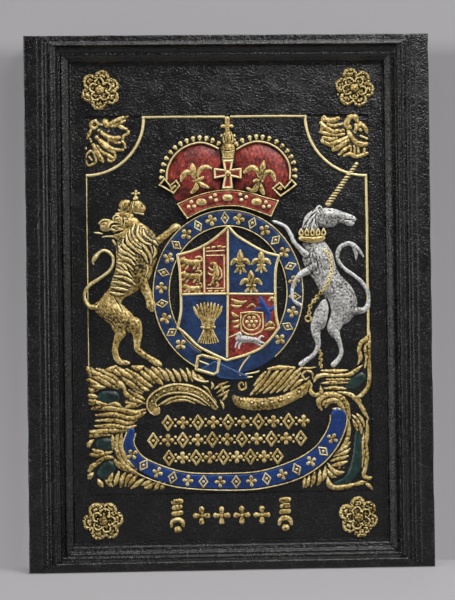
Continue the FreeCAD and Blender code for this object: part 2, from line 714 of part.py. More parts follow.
SKIRT = [(-61, 10), (-73, 38), (-30, 63), (30, 63), (73, 38), (61, 10)]
skirt = polygon(on_crown(SKIRT), size("cap_rise"))
cap_shape = skirt.fuse([lobe_disc(x, inner_arch, size("cap_rise")) for x in lobe_middles]).removeSplitter()
cap_whole = carved("cap_whole", cap_shape, "0", FIELD, CROWN_FOOT)
trimmed("crown_cap", cap_whole, crown_rim, crown_pillar, crown_ends)

arch_discs = [lobe_disc(x, outer_arch, size("arch_rise")) for x in lobe_middles]
hollow_discs = [lobe_disc(x, inner_arch, size("arch_rise")) for x in lobe_middles]
under_arches = polygon(on_crown([(-61, -10)] + SKIRT + [(61, -10)]), size("arch_rise"))
arch_shape = arch_discs[0].fuse(arch_discs[1]).cut(hollow_discs + [under_arches])
arches_whole = carved("arches_whole", arch_shape, "0", FIELD, CROWN_FOOT)
trimmed("crown_arches", arches_whole, crown_rim, crown_pillar, crown_ends)

PEARLS_FROM = 58
PEARLS_TO = 186
pearl_ring = outer_arch + size("pearl_gap") + size("pearl_radius")
pearls = []
for i in range(int(size("pearl_count"))):
    angle = math.radians(PEARLS_FROM + (PEARLS_TO - PEARLS_FROM) * i / (size("pearl_count") - 1))
    x = lobe_offset - pearl_ring * math.cos(angle)
    z = lobe_height + pearl_ring * math.sin(angle)
    pearls += [dome(way * x, z, *[size("pearl_radius")] * 3) for way in (-1, 1)]
pearls_whole = carved("pearls_whole", group(pearls), "0", FIELD, CROWN_FOOT)
trimmed("crown_pearls", pearls_whole, crown_ends, crown_pillar)

CAP_FACE = "(%s - Sizes.cap_rise)" % FIELD
CROSS_HEIGHT = 44
CROSS_ARM = [(3, 3), (8, 15), (-8, 15)]
cross_corners = []
for turn in range(4):
    for x, z in CROSS_ARM:
        for quarter in range(turn):
            x, z = -z, x
        cross_corners.append((x, z + CROSS_HEIGHT))
relief("crown_cross", polygon(on_crown(cross_corners), size("charge_rise")), "0", CAP_FACE, CROWN_FOOT)
crown_lily = lily(size("crown_lily_width"), size("crown_lily_height"))
crown_lilies = spread(crown_lily, ((-40, 44), (40, 44)), CROWN_STRETCH, CROWN_STRETCH)
relief("crown_lilies", crown_lilies, "0", CAP_FACE, CROWN_FOOT)

# Lion on the left of the arms and unicorn on the right, each drawn from its side of the panel
LION = [
    ([(30, 78, 13), (46, 98, 16), (56, 118, 18), (60, 140, 22), (57, 160, 18), (50, 174, 12)], 0.5),
    ([(12, 74, 8), (26, 70, 17), (44, 64, 17), (58, 56, 11)], 0.55),
    ([(38, 58, 11), (34, 42, 7.5), (30, 26, 5.2), (33, 12, 4.4), (44, 5, 4.2), (52, 4, 3)], 0.9),
    ([(54, 54, 11), (64, 42, 8), (59, 24, 5.2), (68, 11, 4.4), (82, 5, 4.2), (90, 4, 3)], 0.9),
    ([(74, 146, 8), (84, 153, 5.5), (96, 161, 4.8), (108, 170, 4.2), (116, 173, 3.8)], 0.9),
    ([(64, 120, 10), (68, 105, 6.4), (72, 91, 5), (78, 80, 4.6), (79, 73, 6)], 0.9),
    ([(50, 174, 10), (44, 180, 10), (34, 177, 8), (24, 176, 7), (15, 177, 4)], 0.8),
    ([(46, 168, 6), (36, 163, 4), (20, 160, 2.4)], 0.8),
    ([(14, 72, 5), (6, 74, 3.4), (3.5, 82, 2.6), (3.5, 92, 2.4), (6, 102, 2.2), (16, 113, 2), (27, 122, 2),
      (31, 132, 2), (27, 140, 2), (19, 143, 2), (12, 139, 2.6), (7, 131, 2)], 0.9),
]
LION_CROWN = [
    ([(45, 191, 3), (70, 191, 3)], 1),
    ([(51, 191, 2.4), (47, 199, 3.6), (46, 205, 1.6)], 0.9),
    ([(58, 191, 2.4), (58, 201, 3.8), (58, 212, 1.6)], 0.9),
    ([(64, 191, 2.4), (68, 199, 3.6), (69, 205, 1.6)], 0.9),
]
UNICORN = [
    ([(-70, 182, 8), (-74, 168, 12), (-72, 150, 14), (-69, 134, 16), (-58, 116, 16), (-46, 96, 15),
      (-34, 76, 15), (-26, 64, 12)], 0.5),
    ([(-70, 182, 8), (-56, 188, 8.5), (-41, 185, 7), (-28, 181, 5.5), (-19, 178, 4)], 0.7),
    ([(-63, 192, 2.5), (-65, 201, 1.2)], 0.9),
    ([(-79, 136, 8), (-88, 143, 5), (-94, 153, 4.2), (-99, 163, 3.6), (-106, 169, 3.2),
      (-119, 177, 3.4)], 0.9),
    ([(-72, 116, 9), (-84, 110, 6), (-94, 102, 4.4), (-99, 91, 3.6), (-98, 81, 3.2), (-88, 73, 3.2)], 0.9),
    ([(-54, 76, 11), (-61, 53, 9.5), (-66, 38, 6.4), (-66, 23, 4.6), (-71, 13, 4), (-79, 7, 3.4),
      (-88, 4, 3.2)], 0.8),
    ([(-33, 66, 14), (-39, 51, 11), (-42, 40, 7.5), (-38, 26, 4.8), (-37, 14, 4), (-40, 6, 3.6),
      (-49, 4, 3.4)], 0.7),
    ([(-21, 66, 4), (-11, 64, 3), (-6, 72, 2.6), (-6, 84, 2.5), (-11, 98, 2.4), (-24, 113, 2.4),
      (-36, 124, 2.4), (-39, 135, 2.4), (-35, 144, 2.4), (-26, 148, 2.4), (-17, 145, 2.4),
      (-12, 137, 2.8)], 0.9),
]
HORN = [([(-54, 196, 3.2), (-15, 248, 1.3)], 1)]
COLLAR = [([(-73, 152, 17), (-73, 165, 16)], 0.66)]


def supporter(drawing):
    return figure(drawing, PANEL_STRETCH, BEAST_STRETCH)


lion_crown = relief("lion_crown", supporter(LION_CROWN), PANEL_LEFT, FIELD, GROUND)
lion = trimmed("lion", carved("lion_figure", supporter(LION), PANEL_LEFT, FIELD, GROUND), lion_crown)
horn = relief("unicorn_horn", supporter(HORN), HALF_PANEL, FIELD, GROUND)
collar = relief("unicorn_collar", supporter(COLLAR), HALF_PANEL, FIELD, GROUND)
unicorn_figure = carved("unicorn_figure", supporter(UNICORN), HALF_PANEL, FIELD, GROUND)
unicorn = trimmed("unicorn", unicorn_figure, horn, collar)


# Belt round the shield, with its buckle and hanging end drawn from the foot of the belt
def block(length, height, rise):
    """A box seated on the field about its anchor."""
    return Part.makeBox(length, rise, height, FreeCAD.Vector(-length / 2, -rise, -height / 2))


BELT_FOOT = "(%s - Sizes.belt_sink)" % GROUND
BUCKLE_TILT = 10
BUCKLE_PLACE = (-29, 12)
buckle_length = size("buckle_length")
buckle_height = size("buckle_height")
double_bar = 2 * size("buckle_bar")
buckle_hole = block(buckle_length - double_bar, buckle_height - double_bar, size("buckle_rise"))
buckle_frame = block(buckle_length, buckle_height, size("buckle_rise")).cut(buckle_hole)
buckle_frame.rotate(spot(0, 0), FreeCAD.Vector(0, 1, 0), BUCKLE_TILT)
shield_cover = carved("shield_cover", shield_outline, "0", FIELD, ARMS_HEIGHT)
buckle_shape = moved(buckle_frame, BUCKLE_PLACE[0] * BELT_STRETCH_ACROSS, BUCKLE_PLACE[1])
buckle_whole = carved("buckle_whole", buckle_shape, "0", FIELD, BELT_FOOT)
buckle = trimmed("belt_buckle", buckle_whole, shield_cover)
BELT_END = [(-14, 11), (8, 2), (26, -4), (18, -8), (-4, -5), (-14, 1)]
tail_slab = polygon(BELT_END, size("belt_rise") + size("belt_edge_rise"))
tail_whole = carved("tail_whole", tail_slab, "0", FIELD, BELT_FOOT)
belt_tail = trimmed("belt_tail", tail_whole, buckle)


def oval_ring(outset, breadth, rise):
    """A ring of the belt, its outer edge a little inside the belt's own."""
    outer = oval(size("belt_half_width") - outset, size("belt_half_height") - outset, rise)
    hollow = outset + breadth
    return outer.cut(oval(size("belt_half_width") - hollow, size("belt_half_height") - hollow, rise))


OVER_BELT = (shield_cover, lion, unicorn, buckle, tail_whole)
belt_shape = oval_ring(0, size("belt_breadth"), size("belt_rise"))
belt_ring = carved("belt_ring", belt_shape, "0", FIELD, ARMS_HEIGHT)
trimmed("belt_strap", belt_ring, *OVER_BELT)
edge_width = size("belt_edge_width")
edge_outsets = (0, size("belt_breadth") - edge_width)
edge_shapes = [oval_ring(outset, edge_width, size("belt_edge_rise")) for outset in edge_outsets]
BELT_FACE = "(%s - Sizes.belt_rise)" % FIELD
edge_rings = carved("edge_rings", group(edge_shapes), "0", BELT_FACE, ARMS_HEIGHT)
trimmed("belt_edges", edge_rings, *OVER_BELT)

# Ribbon under the arms, drawn from the foot of the panel
RIBBON_UNDER = [
    (-137, 58), (-128, 38), (-112, 24), (-80, 12), (-45, 6.5), (0, 4), (40, 6), (80, 16), (110, 33),
    (130, 53), (142, 76), (145, 93),
]
RIBBON_OVER = [
    (124, 93), (118, 73), (105, 56), (80, 41), (40, 28), (0, 25), (-45, 26.5), (-80, 34), (-104, 46),
    (-117, 60), (-120, 74),
]
under_points = on_panel(RIBBON_UNDER, PANEL_STRETCH, COMPARTMENT_STRETCH)
over_points = on_panel(RIBBON_OVER, PANEL_STRETCH, COMPARTMENT_STRETCH)


def smooth_edge(points):
    """A smooth curve through points on the field."""
    curve = Part.BSplineCurve()
    curve.interpolate([spot(x, z) for x, z in points])
    return curve.toShape()


ribbon_sides = [
    smooth_edge(under_points),
    Part.makeLine(spot(*under_points[-1]), spot(*over_points[0])),
    smooth_edge(over_points),
    Part.makeLine(spot(*over_points[-1]), spot(*under_points[0])),
]
ribbon_shape = Part.Face(Part.Wire(ribbon_sides)).extrude(spot(0, 0, size("ribbon_rise")))
ribbon = relief("ribbon_band", ribbon_shape, "0", FIELD, PANEL_FOOT)


def edge_bead(points):
    """A half-round bead laid on the ribbon along the side of it that the points follow."""
    half = size("ribbon_edge_half")
    inset = 1.5 * half
    beads = []
    for i, (x, z) in enumerate(points[1:-1], 1):
        run = spot(points[i + 1][0] - points[i - 1][0], points[i + 1][1] - points[i - 1][1]).normalize()
        beads.append((x - inset * run.z, z + inset * run.x, half))
    return limb(beads, 1)


RIBBON_FACE = "(%s - Sizes.ribbon_rise)" % FIELD
ribbon_beads = [edge_bead(under_points), edge_bead(over_points)]
relief("ribbon_edges", group(ribbon_beads), "0", RIBBON_FACE, PANEL_FOOT)


# Carving round the ribbon, drawn from the foot of the panel at its middle or at one side
def base_carving(drawing):
    return figure(drawing, PANEL_STRETCH, COMPARTMENT_STRETCH)


CRESCENTS = [
    ([(-98, 104, 4), (-100, 116, 5), (-91, 127, 6), (-75, 133, 6), (-57, 132, 6), (-40, 125, 6),
      (-27, 115, 5), (-17, 105, 4)], 0.8),
    ([(-84, 110, 2), (-72, 118, 3), (-55, 120, 3), (-38, 114, 3), (-28, 106, 2)], 0.9),
    ([(-13, 116, 3), (-9, 125, 6), (-3, 132, 5), (4, 136, 3)], 0.8),
    ([(4, 121, 3), (15, 114, 6), (32, 110, 7), (50, 110, 7), (68, 114, 6.5), (84, 122, 6),
      (97, 135, 3)], 0.8),
]
crescents = relief("crescents", base_carving(CRESCENTS), "0", FIELD, PANEL_FOOT)

STONES_LEFT = [(25, 121), (20, 63), (22, 31)]
STONE_HALVES = [(13, 8), (10, 8), (12, 9)]
stone_domes = []
for (x, z), (wide, high) in zip(on_panel(STONES_LEFT, PANEL_STRETCH, COMPARTMENT_STRETCH), STONE_HALVES):
    stone_domes.append(dome(x, z, wide, high, size("stone_rise")))
stones_left = carved("stones_left", group(stone_domes), PANEL_LEFT, FIELD, PANEL_FOOT)
STONES_RIGHT = [
    ([(-29, 133, 4), (-21, 136, 6), (-13, 139, 4)], 0.7),
    ([(-18, 82, 3), (-19, 63, 5), (-19, 38, 6), (-26, 18, 5), (-44, 8, 3)], 0.7),
]
stones_right = carved("stones_right", base_carving(STONES_RIGHT), HALF_PANEL, FIELD, PANEL_FOOT)
stones = doc.addObject("Part::Compound", "stones")
stones.Links = [stones_left, stones_right]
keep("green_stones", stones)

LEAF_WORK = [
    ([(36, 138, 6), (33, 108, 8), (30, 78, 8), (30, 48, 8), (34, 23, 6)], 0.28),
    ([(3, 156, 1.5), (16, 149, 6), (36, 142, 8), (50, 134, 5)], 0.7),
    ([(26, 155, 3), (44, 148, 7), (60, 138, 8), (69, 124, 5)], 0.7),
    ([(56, 155, 3), (70, 148, 7), (84, 140, 6), (92, 138, 3)], 0.7),
    ([(84, 155, 3), (98, 148, 6), (114, 144, 5), (127, 148, 3)], 0.7),
    ([(4, 140, 2), (10, 130, 5), (7, 113, 4), (16, 107, 3)], 0.8),
    ([(6, 104, 3), (31, 107, 4), (56, 111, 4), (70, 114, 3)], 0.9),
    ([(7, 95, 3), (31, 96, 3.5), (58, 98, 3.5), (70, 104, 2.5)], 0.9),
    ([(8, 86, 3), (31, 85, 3.5), (52, 86, 3)], 0.9),
    ([(5, 76, 3), (18, 78, 5), (38, 77, 5), (52, 80, 3)], 0.8),
    ([(5, 68, 2.5), (7, 58, 4), (13, 51, 4.5), (30, 50, 4), (38, 55, 3)], 0.8),
    ([(5, 47, 2.5), (7, 30, 4), (10, 18, 4), (18, 12, 3)], 0.8),
    ([(26, 14, 3), (38, 16, 5), (50, 24, 5), (58, 30, 2.5)], 0.8),
    ([(50, 9, 2.5), (62, 15, 4), (74, 16, 4), (84, 9, 2.5)], 0.8),
]
SCROLL_WORK = [
    ([(-149, 126, 4), (-128, 138, 11), (-104, 148, 8), (-82, 152, 3)], 0.6),
    ([(-84, 146, 3), (-71, 138, 3), (-58, 144, 3), (-36, 146, 3.2), (-20, 154, 3.4), (-13, 168, 3.2),
      (-12, 182, 3), (-6, 190, 2.2)], 0.9),
    ([(-4.5, 186, 2), (-4.5, 158, 2.6), (-6, 134, 2.8), (-13, 118, 2.6), (-26, 113, 2.2)], 0.9),
    ([(-68, 136, 3), (-51, 137, 6), (-33, 138, 6), (-24, 144, 3)], 0.6),
    ([(-72, 122, 3), (-64, 130, 4), (-52, 127, 4), (-38, 124, 3.5), (-24, 115, 2.5), (-11, 100, 2.2),
      (-5, 88, 1.8)], 0.9),
    ([(-64, 103, 3), (-63, 114, 5), (-54, 120, 5), (-42, 116, 5), (-33, 107, 4), (-29, 95, 3)], 0.9),
    ([(-21, 94, 3), (-12, 84, 4.5), (-8, 64, 4), (-8, 40, 4), (-6, 20, 3.5), (-5, 8, 2)], 0.9),
    ([(-29, 66, 4), (-35, 53, 7), (-39, 38, 8), (-50, 26, 7), (-64, 18, 6), (-81, 12, 5), (-98, 7, 3)], 0.7),
    ([(-56, 10, 3), (-46, 4.5, 2.5), (-28, 4.5, 2.5), (-14, 9, 3), (-5, 15, 2.5)], 0.9),
]
leaf_whole = carved("leaf_whole", base_carving(LEAF_WORK), PANEL_LEFT, FIELD, PANEL_FOOT)
trimmed("leaf_work_left", leaf_whole, ribbon, crescents, stones_left)
scroll_whole = carved("scroll_whole", base_carving(SCROLL_WORK), HALF_PANEL, FIELD, PANEL_FOOT)
trimmed("scroll_work_right", scroll_whole, ribbon, crescents, stones_right)


# Gilt fillet round the field, hollowed at the top corners and drawn from the beasts' ground
def fillet_shape():
    half = size("fillet_width") / 2
    rise = size("fillet_rise")
    edge = size("panel_width") / 2
    across = edge - size("fillet_inset")
    top = achievement_height()
    level = top - size("fillet_inset")
    radius = size("fillet_corner_radius")
    hollow = math.sqrt(radius ** 2 - size("fillet_inset") ** 2)
    pieces = []
    for way, foot in ((-1, size("fillet_foot_left")), (1, size("fillet_foot_right"))):
        sides = (way * (across - half), way * (across + half))
        upright = [(sides[0], foot), (sides[1], foot), (sides[1], top - hollow), (sides[0], top - hollow)]
        pieces.append(polygon(upright, rise))
        corner = spot(way * edge, top)
        discs = [Part.makeCylinder(radius + gap, rise, corner, spot(0, 0, 1)) for gap in (half, -half)]
        inner = way * (edge - 2 * radius)
        low = top - 2 * radius
        window = [(inner, low), (sides[1], low), (sides[1], level + half), (inner, level + half)]
        pieces.append(discs[0].cut(discs[1]).common(polygon(window, rise)))
    end = edge - hollow
    head = [(-end, level - half), (end, level - half), (end, level + half), (-end, level + half)]
    pieces.append(polygon(head, rise))
    return pieces[0].fuse(pieces[1:]).removeSplitter()


fillet_whole = carved("fillet_whole", fillet_shape(), "0", FIELD, GROUND)
trimmed("border_fillet", fillet_whole, lion, unicorn, horn, crown_pillar)

# Rows of lozenges and pellets over the ribbon
ROWS = ((88, 15), (67, 15), (46, 9))
LOZENGE = [(-1, 0), (0, -1), (1, 0), (0, 1)]
half_lozenge = (size("lozenge_width") / 2, size("lozenge_height") / 2)
row_pieces = []
for height, count in ROWS:
    level = height * COMPARTMENT_STRETCH
    for i in range(count):
        x = (i - (count - 1) / 2) * size("row_pitch")
        if i % 2 == 0:
            corners = [(x + a * half_lozenge[0], level + b * half_lozenge[1]) for a, b in LOZENGE]
            row_pieces.append(polygon(corners, size("lozenge_rise")))
        else:
            for gap in (-half_lozenge[1] / 2, half_lozenge[1] / 2):
                row_pieces.append(dome(x, level + gap, *[size("pellet_radius")] * 3))
relief("ornament_rows", group(row_pieces), "0", FIELD, PANEL_FOOT)

# Bottom strip: four-lobed flowers between two balusters
BALUSTER_PLACE = 67
BALUSTER_BALL = (4, 4, 3.5)
BALUSTER = [
    ([(0, 20, 4), (0, 17, 7), (0, 13, 8), (0, 9, 5), (0, 5, 6), (0, 2, 3)], 0.8),
    ([(-8, -8, 2.5), (-5, -3, 2.5), (0, -1, 2.5), (5, -3, 2.5), (8, -8, 2.5)], 0.9),
]
baluster = figure(BALUSTER)
lobe = size("quatrefoil_radius")
flower_lobes = [dome(a * lobe, b * lobe, lobe, lobe, lobe * 0.7) for a, b in LOZENGE]
flower = flower_lobes[0].fuse(flower_lobes[1:]).removeSplitter()
strip_pieces = []
for way in (-1, 1):
    strip_pieces.append(moved(baluster, way * BALUSTER_PLACE, 0))
    strip_pieces.append(dome(way * BALUSTER_PLACE, -14, *BALUSTER_BALL))
    for step in (0.5, 1.5):
        strip_pieces.append(moved(flower, way * step * size("quatrefoil_pitch"), 0))
relief("strip_flowers", group(strip_pieces), "0", MARGIN_FACE, STRIP_MIDDLE)

doc.recompute()

# Writing the sub-parts
os.makedirs("parts", exist_ok=True)
for piece in nodes:
    shape = piece.Shape
    faulty = "Invalid" in piece.State or "Error" in piece.State
    if faulty or shape.isNull() or not shape.isValid() or not shape.Solids:
        raise RuntimeError("%s did not build: %s" % (piece.Label, piece.State))
    shape.exportStep("parts/%s.step" % piece.Label)
print("%d sub-parts written" % len(nodes))
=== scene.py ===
import math

import bpy
import numpy as np
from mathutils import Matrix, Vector, noise


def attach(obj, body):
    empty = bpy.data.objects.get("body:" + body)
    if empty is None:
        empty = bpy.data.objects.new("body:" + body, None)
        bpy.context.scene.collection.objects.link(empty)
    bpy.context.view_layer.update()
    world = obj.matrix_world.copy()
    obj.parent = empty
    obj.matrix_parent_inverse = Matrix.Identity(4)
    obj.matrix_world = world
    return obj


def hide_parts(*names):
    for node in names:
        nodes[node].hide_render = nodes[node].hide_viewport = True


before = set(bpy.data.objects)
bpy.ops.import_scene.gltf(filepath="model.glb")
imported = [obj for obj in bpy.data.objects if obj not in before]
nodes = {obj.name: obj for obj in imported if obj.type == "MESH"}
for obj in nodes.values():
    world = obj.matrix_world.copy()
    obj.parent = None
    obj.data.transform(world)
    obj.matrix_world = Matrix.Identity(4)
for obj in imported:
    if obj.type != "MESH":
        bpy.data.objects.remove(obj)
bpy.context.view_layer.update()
mm = 0.001
print("frame loaded,", len(nodes), "solids")

# y of the faces that the carving sits on, in mm
seats = {"field": -2.0, "margin": -4.5}


def linear(hexCode):
    channels = [int(hexCode[i:i + 2], 16) / 255 for i in (1, 3, 5)]
    return [c / 12.92 if c <= 0.04045 else ((c + 0.055) / 1.055) ** 2.4 for c in channels] + [1.0]


def addNode(tree, kind, sockets=None, **settings):
    node = tree.nodes.new(kind)
    for name, value in settings.items():
        setattr(node, name, value)
    for name, value in (sockets or {}).items():
        if isinstance(value, bpy.types.NodeSocket):
            tree.links.new(value, node.inputs[name])
        else:
            node.inputs[name].default_value = value
    return node


def newMaterial(name):
    material = bpy.data.materials.new(name)
    material.use_nodes = True
    tree = material.node_tree
    tree.nodes.clear()
    place = addNode(tree, "ShaderNodeTexCoord").outputs["Object"]
    return material, tree, place


def perMetre(sizeMm):
    return 1000 / sizeMm  # noise scale for a feature of this size, on coordinates in metres


# Satin black oil paint brushed over sand-cast iron: near black, a soft broken shine on the sand grain,
# partly painted into the colour as pale glints, a little dust in the low places. The grain is drawn coarser
# than real sand, so that it shows.
blackLook = {"base": "#090808", "dusty": "#100f0f", "glintAndWear": "#484746", "patchMm": 26, "grainMm": 2.4,
             "swellMm": 22, "grainHigh": 0.00145, "swellHigh": 0.0024, "roughLow": 0.18, "roughHigh": 0.31}


def blackPaintOnIron():
    look = blackLook
    material, tree, place = newMaterial("blackPaintOnCastIron")
    patch = addNode(tree, "ShaderNodeTexNoise",
                    {"Vector": place, "Scale": perMetre(look["patchMm"]), "Detail": 5.0})
    grain = addNode(tree, "ShaderNodeTexNoise",
                    {"Vector": place, "Scale": perMetre(look["grainMm"]), "Detail": 3.0})
    swell = addNode(tree, "ShaderNodeTexNoise",
                    {"Vector": place, "Scale": perMetre(look["swellMm"]), "Detail": 2.0})
    dusty = addNode(tree, "ShaderNodeMapRange",
                    {"Value": patch.outputs["Fac"], "From Min": 0.42, "From Max": 0.75})
    colour = addNode(tree, "ShaderNodeMix",
                     {"Factor": dusty.outputs["Result"], "A": linear(look["base"]),
                      "B": linear(look["dusty"])}, data_type="RGBA")
    # the tops of the sand grain, paler in patches: painted glints for the coat's shine, and paint worn by
    # hands and cloths
    tops = addNode(tree, "ShaderNodeMapRange",
                   {"Value": grain.outputs["Fac"], "From Min": 0.52, "From Max": 0.68})
    worn = addNode(tree, "ShaderNodeMapRange",
                   {"Value": patch.outputs["Fac"], "From Min": 0.4, "From Max": 0.66, "To Min": 0.15,
                    "To Max": 0.5})
    speck = addNode(tree, "ShaderNodeMath",
                    {0: tops.outputs["Result"], 1: worn.outputs["Result"]}, operation="MULTIPLY")
    glintAndWear = addNode(tree, "ShaderNodeMix",
                     {"Factor": speck.outputs["Value"], "A": colour.outputs["Result"],
                      "B": linear(look["glintAndWear"])}, data_type="RGBA")
    rough = addNode(tree, "ShaderNodeMapRange",
                    {"Value": patch.outputs["Fac"], "From Min": 0.3, "From Max": 0.7,
                     "To Min": look["roughLow"], "To Max": look["roughHigh"]})
    low = addNode(tree, "ShaderNodeBump",
                  {"Height": swell.outputs["Fac"], "Strength": 0.7, "Distance": look["swellHigh"]})
    fine = addNode(tree, "ShaderNodeBump",
                   {"Height": grain.outputs["Fac"], "Strength": 0.8, "Distance": look["grainHigh"],
                    "Normal": low.outputs["Normal"]})
    shader = addNode(tree, "ShaderNodeBsdfPrincipled",
                     {"Base Color": glintAndWear.outputs["Result"], "Roughness": rough.outputs["Result"],
                      "Normal": fine.outputs["Normal"]})
    addNode(tree, "ShaderNodeOutputMaterial", {"Surface": shader.outputs["BSDF"]})
    return material


# Hand paint over the black ground. Each coat sits on the high parts and leaves the ground showing in the
# cuts, as a nearly dry brush does, the black in the cuts standing also for painted shade: bare where the
# relief is lower than
# "open", full where it is higher than "closed". The coat itself runs from a dark colour low down to a pale
# one on the tops, a painted shade and a painted highlight as well as the paint's real thinning.
brushLook = {"ground": "#0c0b0b", "patchMm": 16, "drift": 0.2, "markHigh": 0.0009}
# gilt: bronze powder in oil, a soft warm metal sheen, browner where thin and low down, partly painted
# shade, pale on the tops as a painted highlight
giltLook = {"thin": "#64501f", "body": "#b99b52", "full": "#f4e4ac", "metal": 0.3, "rough": 0.42,
            "open": -0.2, "closed": 0.04, "ragged": 0.42, "brushMm": 2.9}
# red: iron-red oil paint, matt, pale on the high threads as a painted highlight, darker low down as painted
# shade
redLook = {"thin": "#3a0f0b", "body": "#962d22", "full": "#cb6f58", "metal": 0.0, "rough": 0.5,
           "open": -1.0, "closed": -0.45, "ragged": 0.3, "brushMm": 4.2}
# blue: dark ultramarine oil paint, a low even gloss
blueLook = {"thin": "#0d1a33", "body": "#1c3966", "full": "#34588c", "metal": 0.0, "rough": 0.42,
            "open": -1.1, "closed": -0.5, "ragged": 0.22, "brushMm": 2.9}
# ribbon blue: the same paint with more white in it
ribbonLook = {"thin": "#0b1f48", "body": "#12397f", "full": "#2957a0", "metal": 0.0, "rough": 0.4,
              "open": -1.1, "closed": -0.5, "ragged": 0.2, "brushMm": 2.9}
# green: dark copper-green glaze over black, glossier than the rest
greenLook = {"thin": "#0b1715", "body": "#1c3a35", "full": "#3d6159", "metal": 0.0, "rough": 0.32,
             "open": -1.1, "closed": -0.5, "ragged": 0.25, "brushMm": 2.9}
# silver white: chalky white paint with a grey cast, dark in the brush gaps
whiteLook = {"thin": "#4a4947", "body": "#b4b3af", "full": "#f0efec", "metal": 0.1, "rough": 0.45,
             "open": -0.4, "closed": -0.14, "ragged": 0.42, "brushMm": 2.3}


def handPaint(name, look):
    material, tree, place = newMaterial(name)
    hollow = addNode(tree, "ShaderNodeAttribute", attribute_name="hollow").outputs["Fac"]
    brush = addNode(tree, "ShaderNodeTexNoise",
                    {"Vector": place, "Scale": perMetre(look["brushMm"]), "Detail": 4.0, "Roughness": 0.65})
    patch = addNode(tree, "ShaderNodeTexNoise",
                    {"Vector": place, "Scale": perMetre(brushLook["patchMm"]), "Detail": 3.0})
    spread = addNode(tree, "ShaderNodeMapRange",
                     {"Value": brush.outputs["Fac"], "From Min": 0.3, "From Max": 0.7,
                      "To Min": -look["ragged"], "To Max": look["ragged"]})
    drift = addNode(tree, "ShaderNodeMapRange",
                    {"Value": patch.outputs["Fac"], "From Min": 0.3, "From Max": 0.7,
                     "To Min": -brushLook["drift"], "To Max": brushLook["drift"]})
    ragged = addNode(tree, "ShaderNodeMath", {0: hollow, 1: spread.outputs["Result"]}, operation="ADD")
    level = addNode(tree, "ShaderNodeMath",
                    {0: ragged.outputs["Value"], 1: drift.outputs["Result"]}, operation="ADD")
    # where the coat stops the black ground shows: gaps of the dry brush, and painted shade in the cuts
    cover = addNode(tree, "ShaderNodeMapRange",
                    {"Value": level.outputs["Value"], "From Min": look["open"], "From Max": look["closed"]},
                    interpolation_type="SMOOTHSTEP")
    # painted light: the coat's colour runs from dark low down (painted shade) to pale on the tops (painted
    # highlight)
    paintedLightLevel = addNode(tree, "ShaderNodeMapRange",
                  {"Value": level.outputs["Value"], "From Min": -0.1, "From Max": 0.75})
    coat = addNode(tree, "ShaderNodeValToRGB", {"Fac": paintedLightLevel.outputs["Result"]})
    stops = coat.color_ramp.elements
    stops[0].color = linear(look["thin"])
    stops[1].color = linear(look["full"])
    stops.new(0.4).color = linear(look["body"])
    colour = addNode(tree, "ShaderNodeMix",
                     {"Factor": cover.outputs["Result"], "A": linear(brushLook["ground"]),
                      "B": coat.outputs["Color"]}, data_type="RGBA")
    metal = addNode(tree, "ShaderNodeMath",
                    {0: cover.outputs["Result"], 1: look["metal"]}, operation="MULTIPLY")
    grain = addNode(tree, "ShaderNodeBump",
                    {"Height": brush.outputs["Fac"], "Strength": 0.6, "Distance": brushLook["markHigh"]})
    shader = addNode(tree, "ShaderNodeBsdfPrincipled",
                     {"Base Color": colour.outputs["Result"], "Metallic": metal.outputs["Value"],
                      "Roughness": look["rough"], "Normal": grain.outputs["Normal"]})
    addNode(tree, "ShaderNodeOutputMaterial", {"Surface": shader.outputs["BSDF"]})
    return material


black = blackPaintOnIron()
gilt = handPaint("giltBronzePaint", giltLook)
red = handPaint("ironRedPaint", redLook)
blue = handPaint("ultramarinePaint", blueLook)
ribbonBlue = handPaint("ribbonBluePaint", ribbonLook)
green = handPaint("copperGreenGlaze", greenLook)
white = handPaint("silverWhitePaint", whiteLook)


# Carving. A relief is a grid of heights in mm over the plate's face, worked with strokes:
# a stroke is a lift and points (x, z, half width) in mm, from the middle of the plate's bottom edge.
bare = -4.0  # height where nothing is carved
touching = -1.5  # two carvings higher than this run into each other
thinnest = 0.35  # half width that a stroke never goes below


def smoothPath(points, step=1.0):
    points = np.array(points, float)
    before = 2 * points[0] - points[1]
    after = 2 * points[-1] - points[-2]
    run = np.vstack([before, points, after])
    path = []
    for p0, p1, p2, p3 in zip(run[:-3], run[1:-2], run[2:-1], run[3:]):
        count = max(2, int(math.hypot(p2[0] - p1[0], p2[1] - p1[1]) / step))
        t = np.linspace(0, 1, count, endpoint=False)[:, None]
        path.append(0.5 * (2 * p1 + (p2 - p0) * t + (2 * p0 - 5 * p1 + 4 * p2 - p3) * t ** 2
                           + (3 * p1 - p0 - 3 * p2 + p3) * t ** 3))
    path = np.vstack(path + [points[-1:]])
    path[:, 2] = np.maximum(path[:, 2], thinnest)
    return path


def blankRelief(box, cell):
    x0, z0, x1, z1 = box
    xs = np.arange(x0, x1 + cell, cell)
    zs = np.arange(z0, z1 + cell, cell)
    return {"xs": xs, "zs": zs, "cell": cell, "height": np.full((len(zs), len(xs)), bare)}


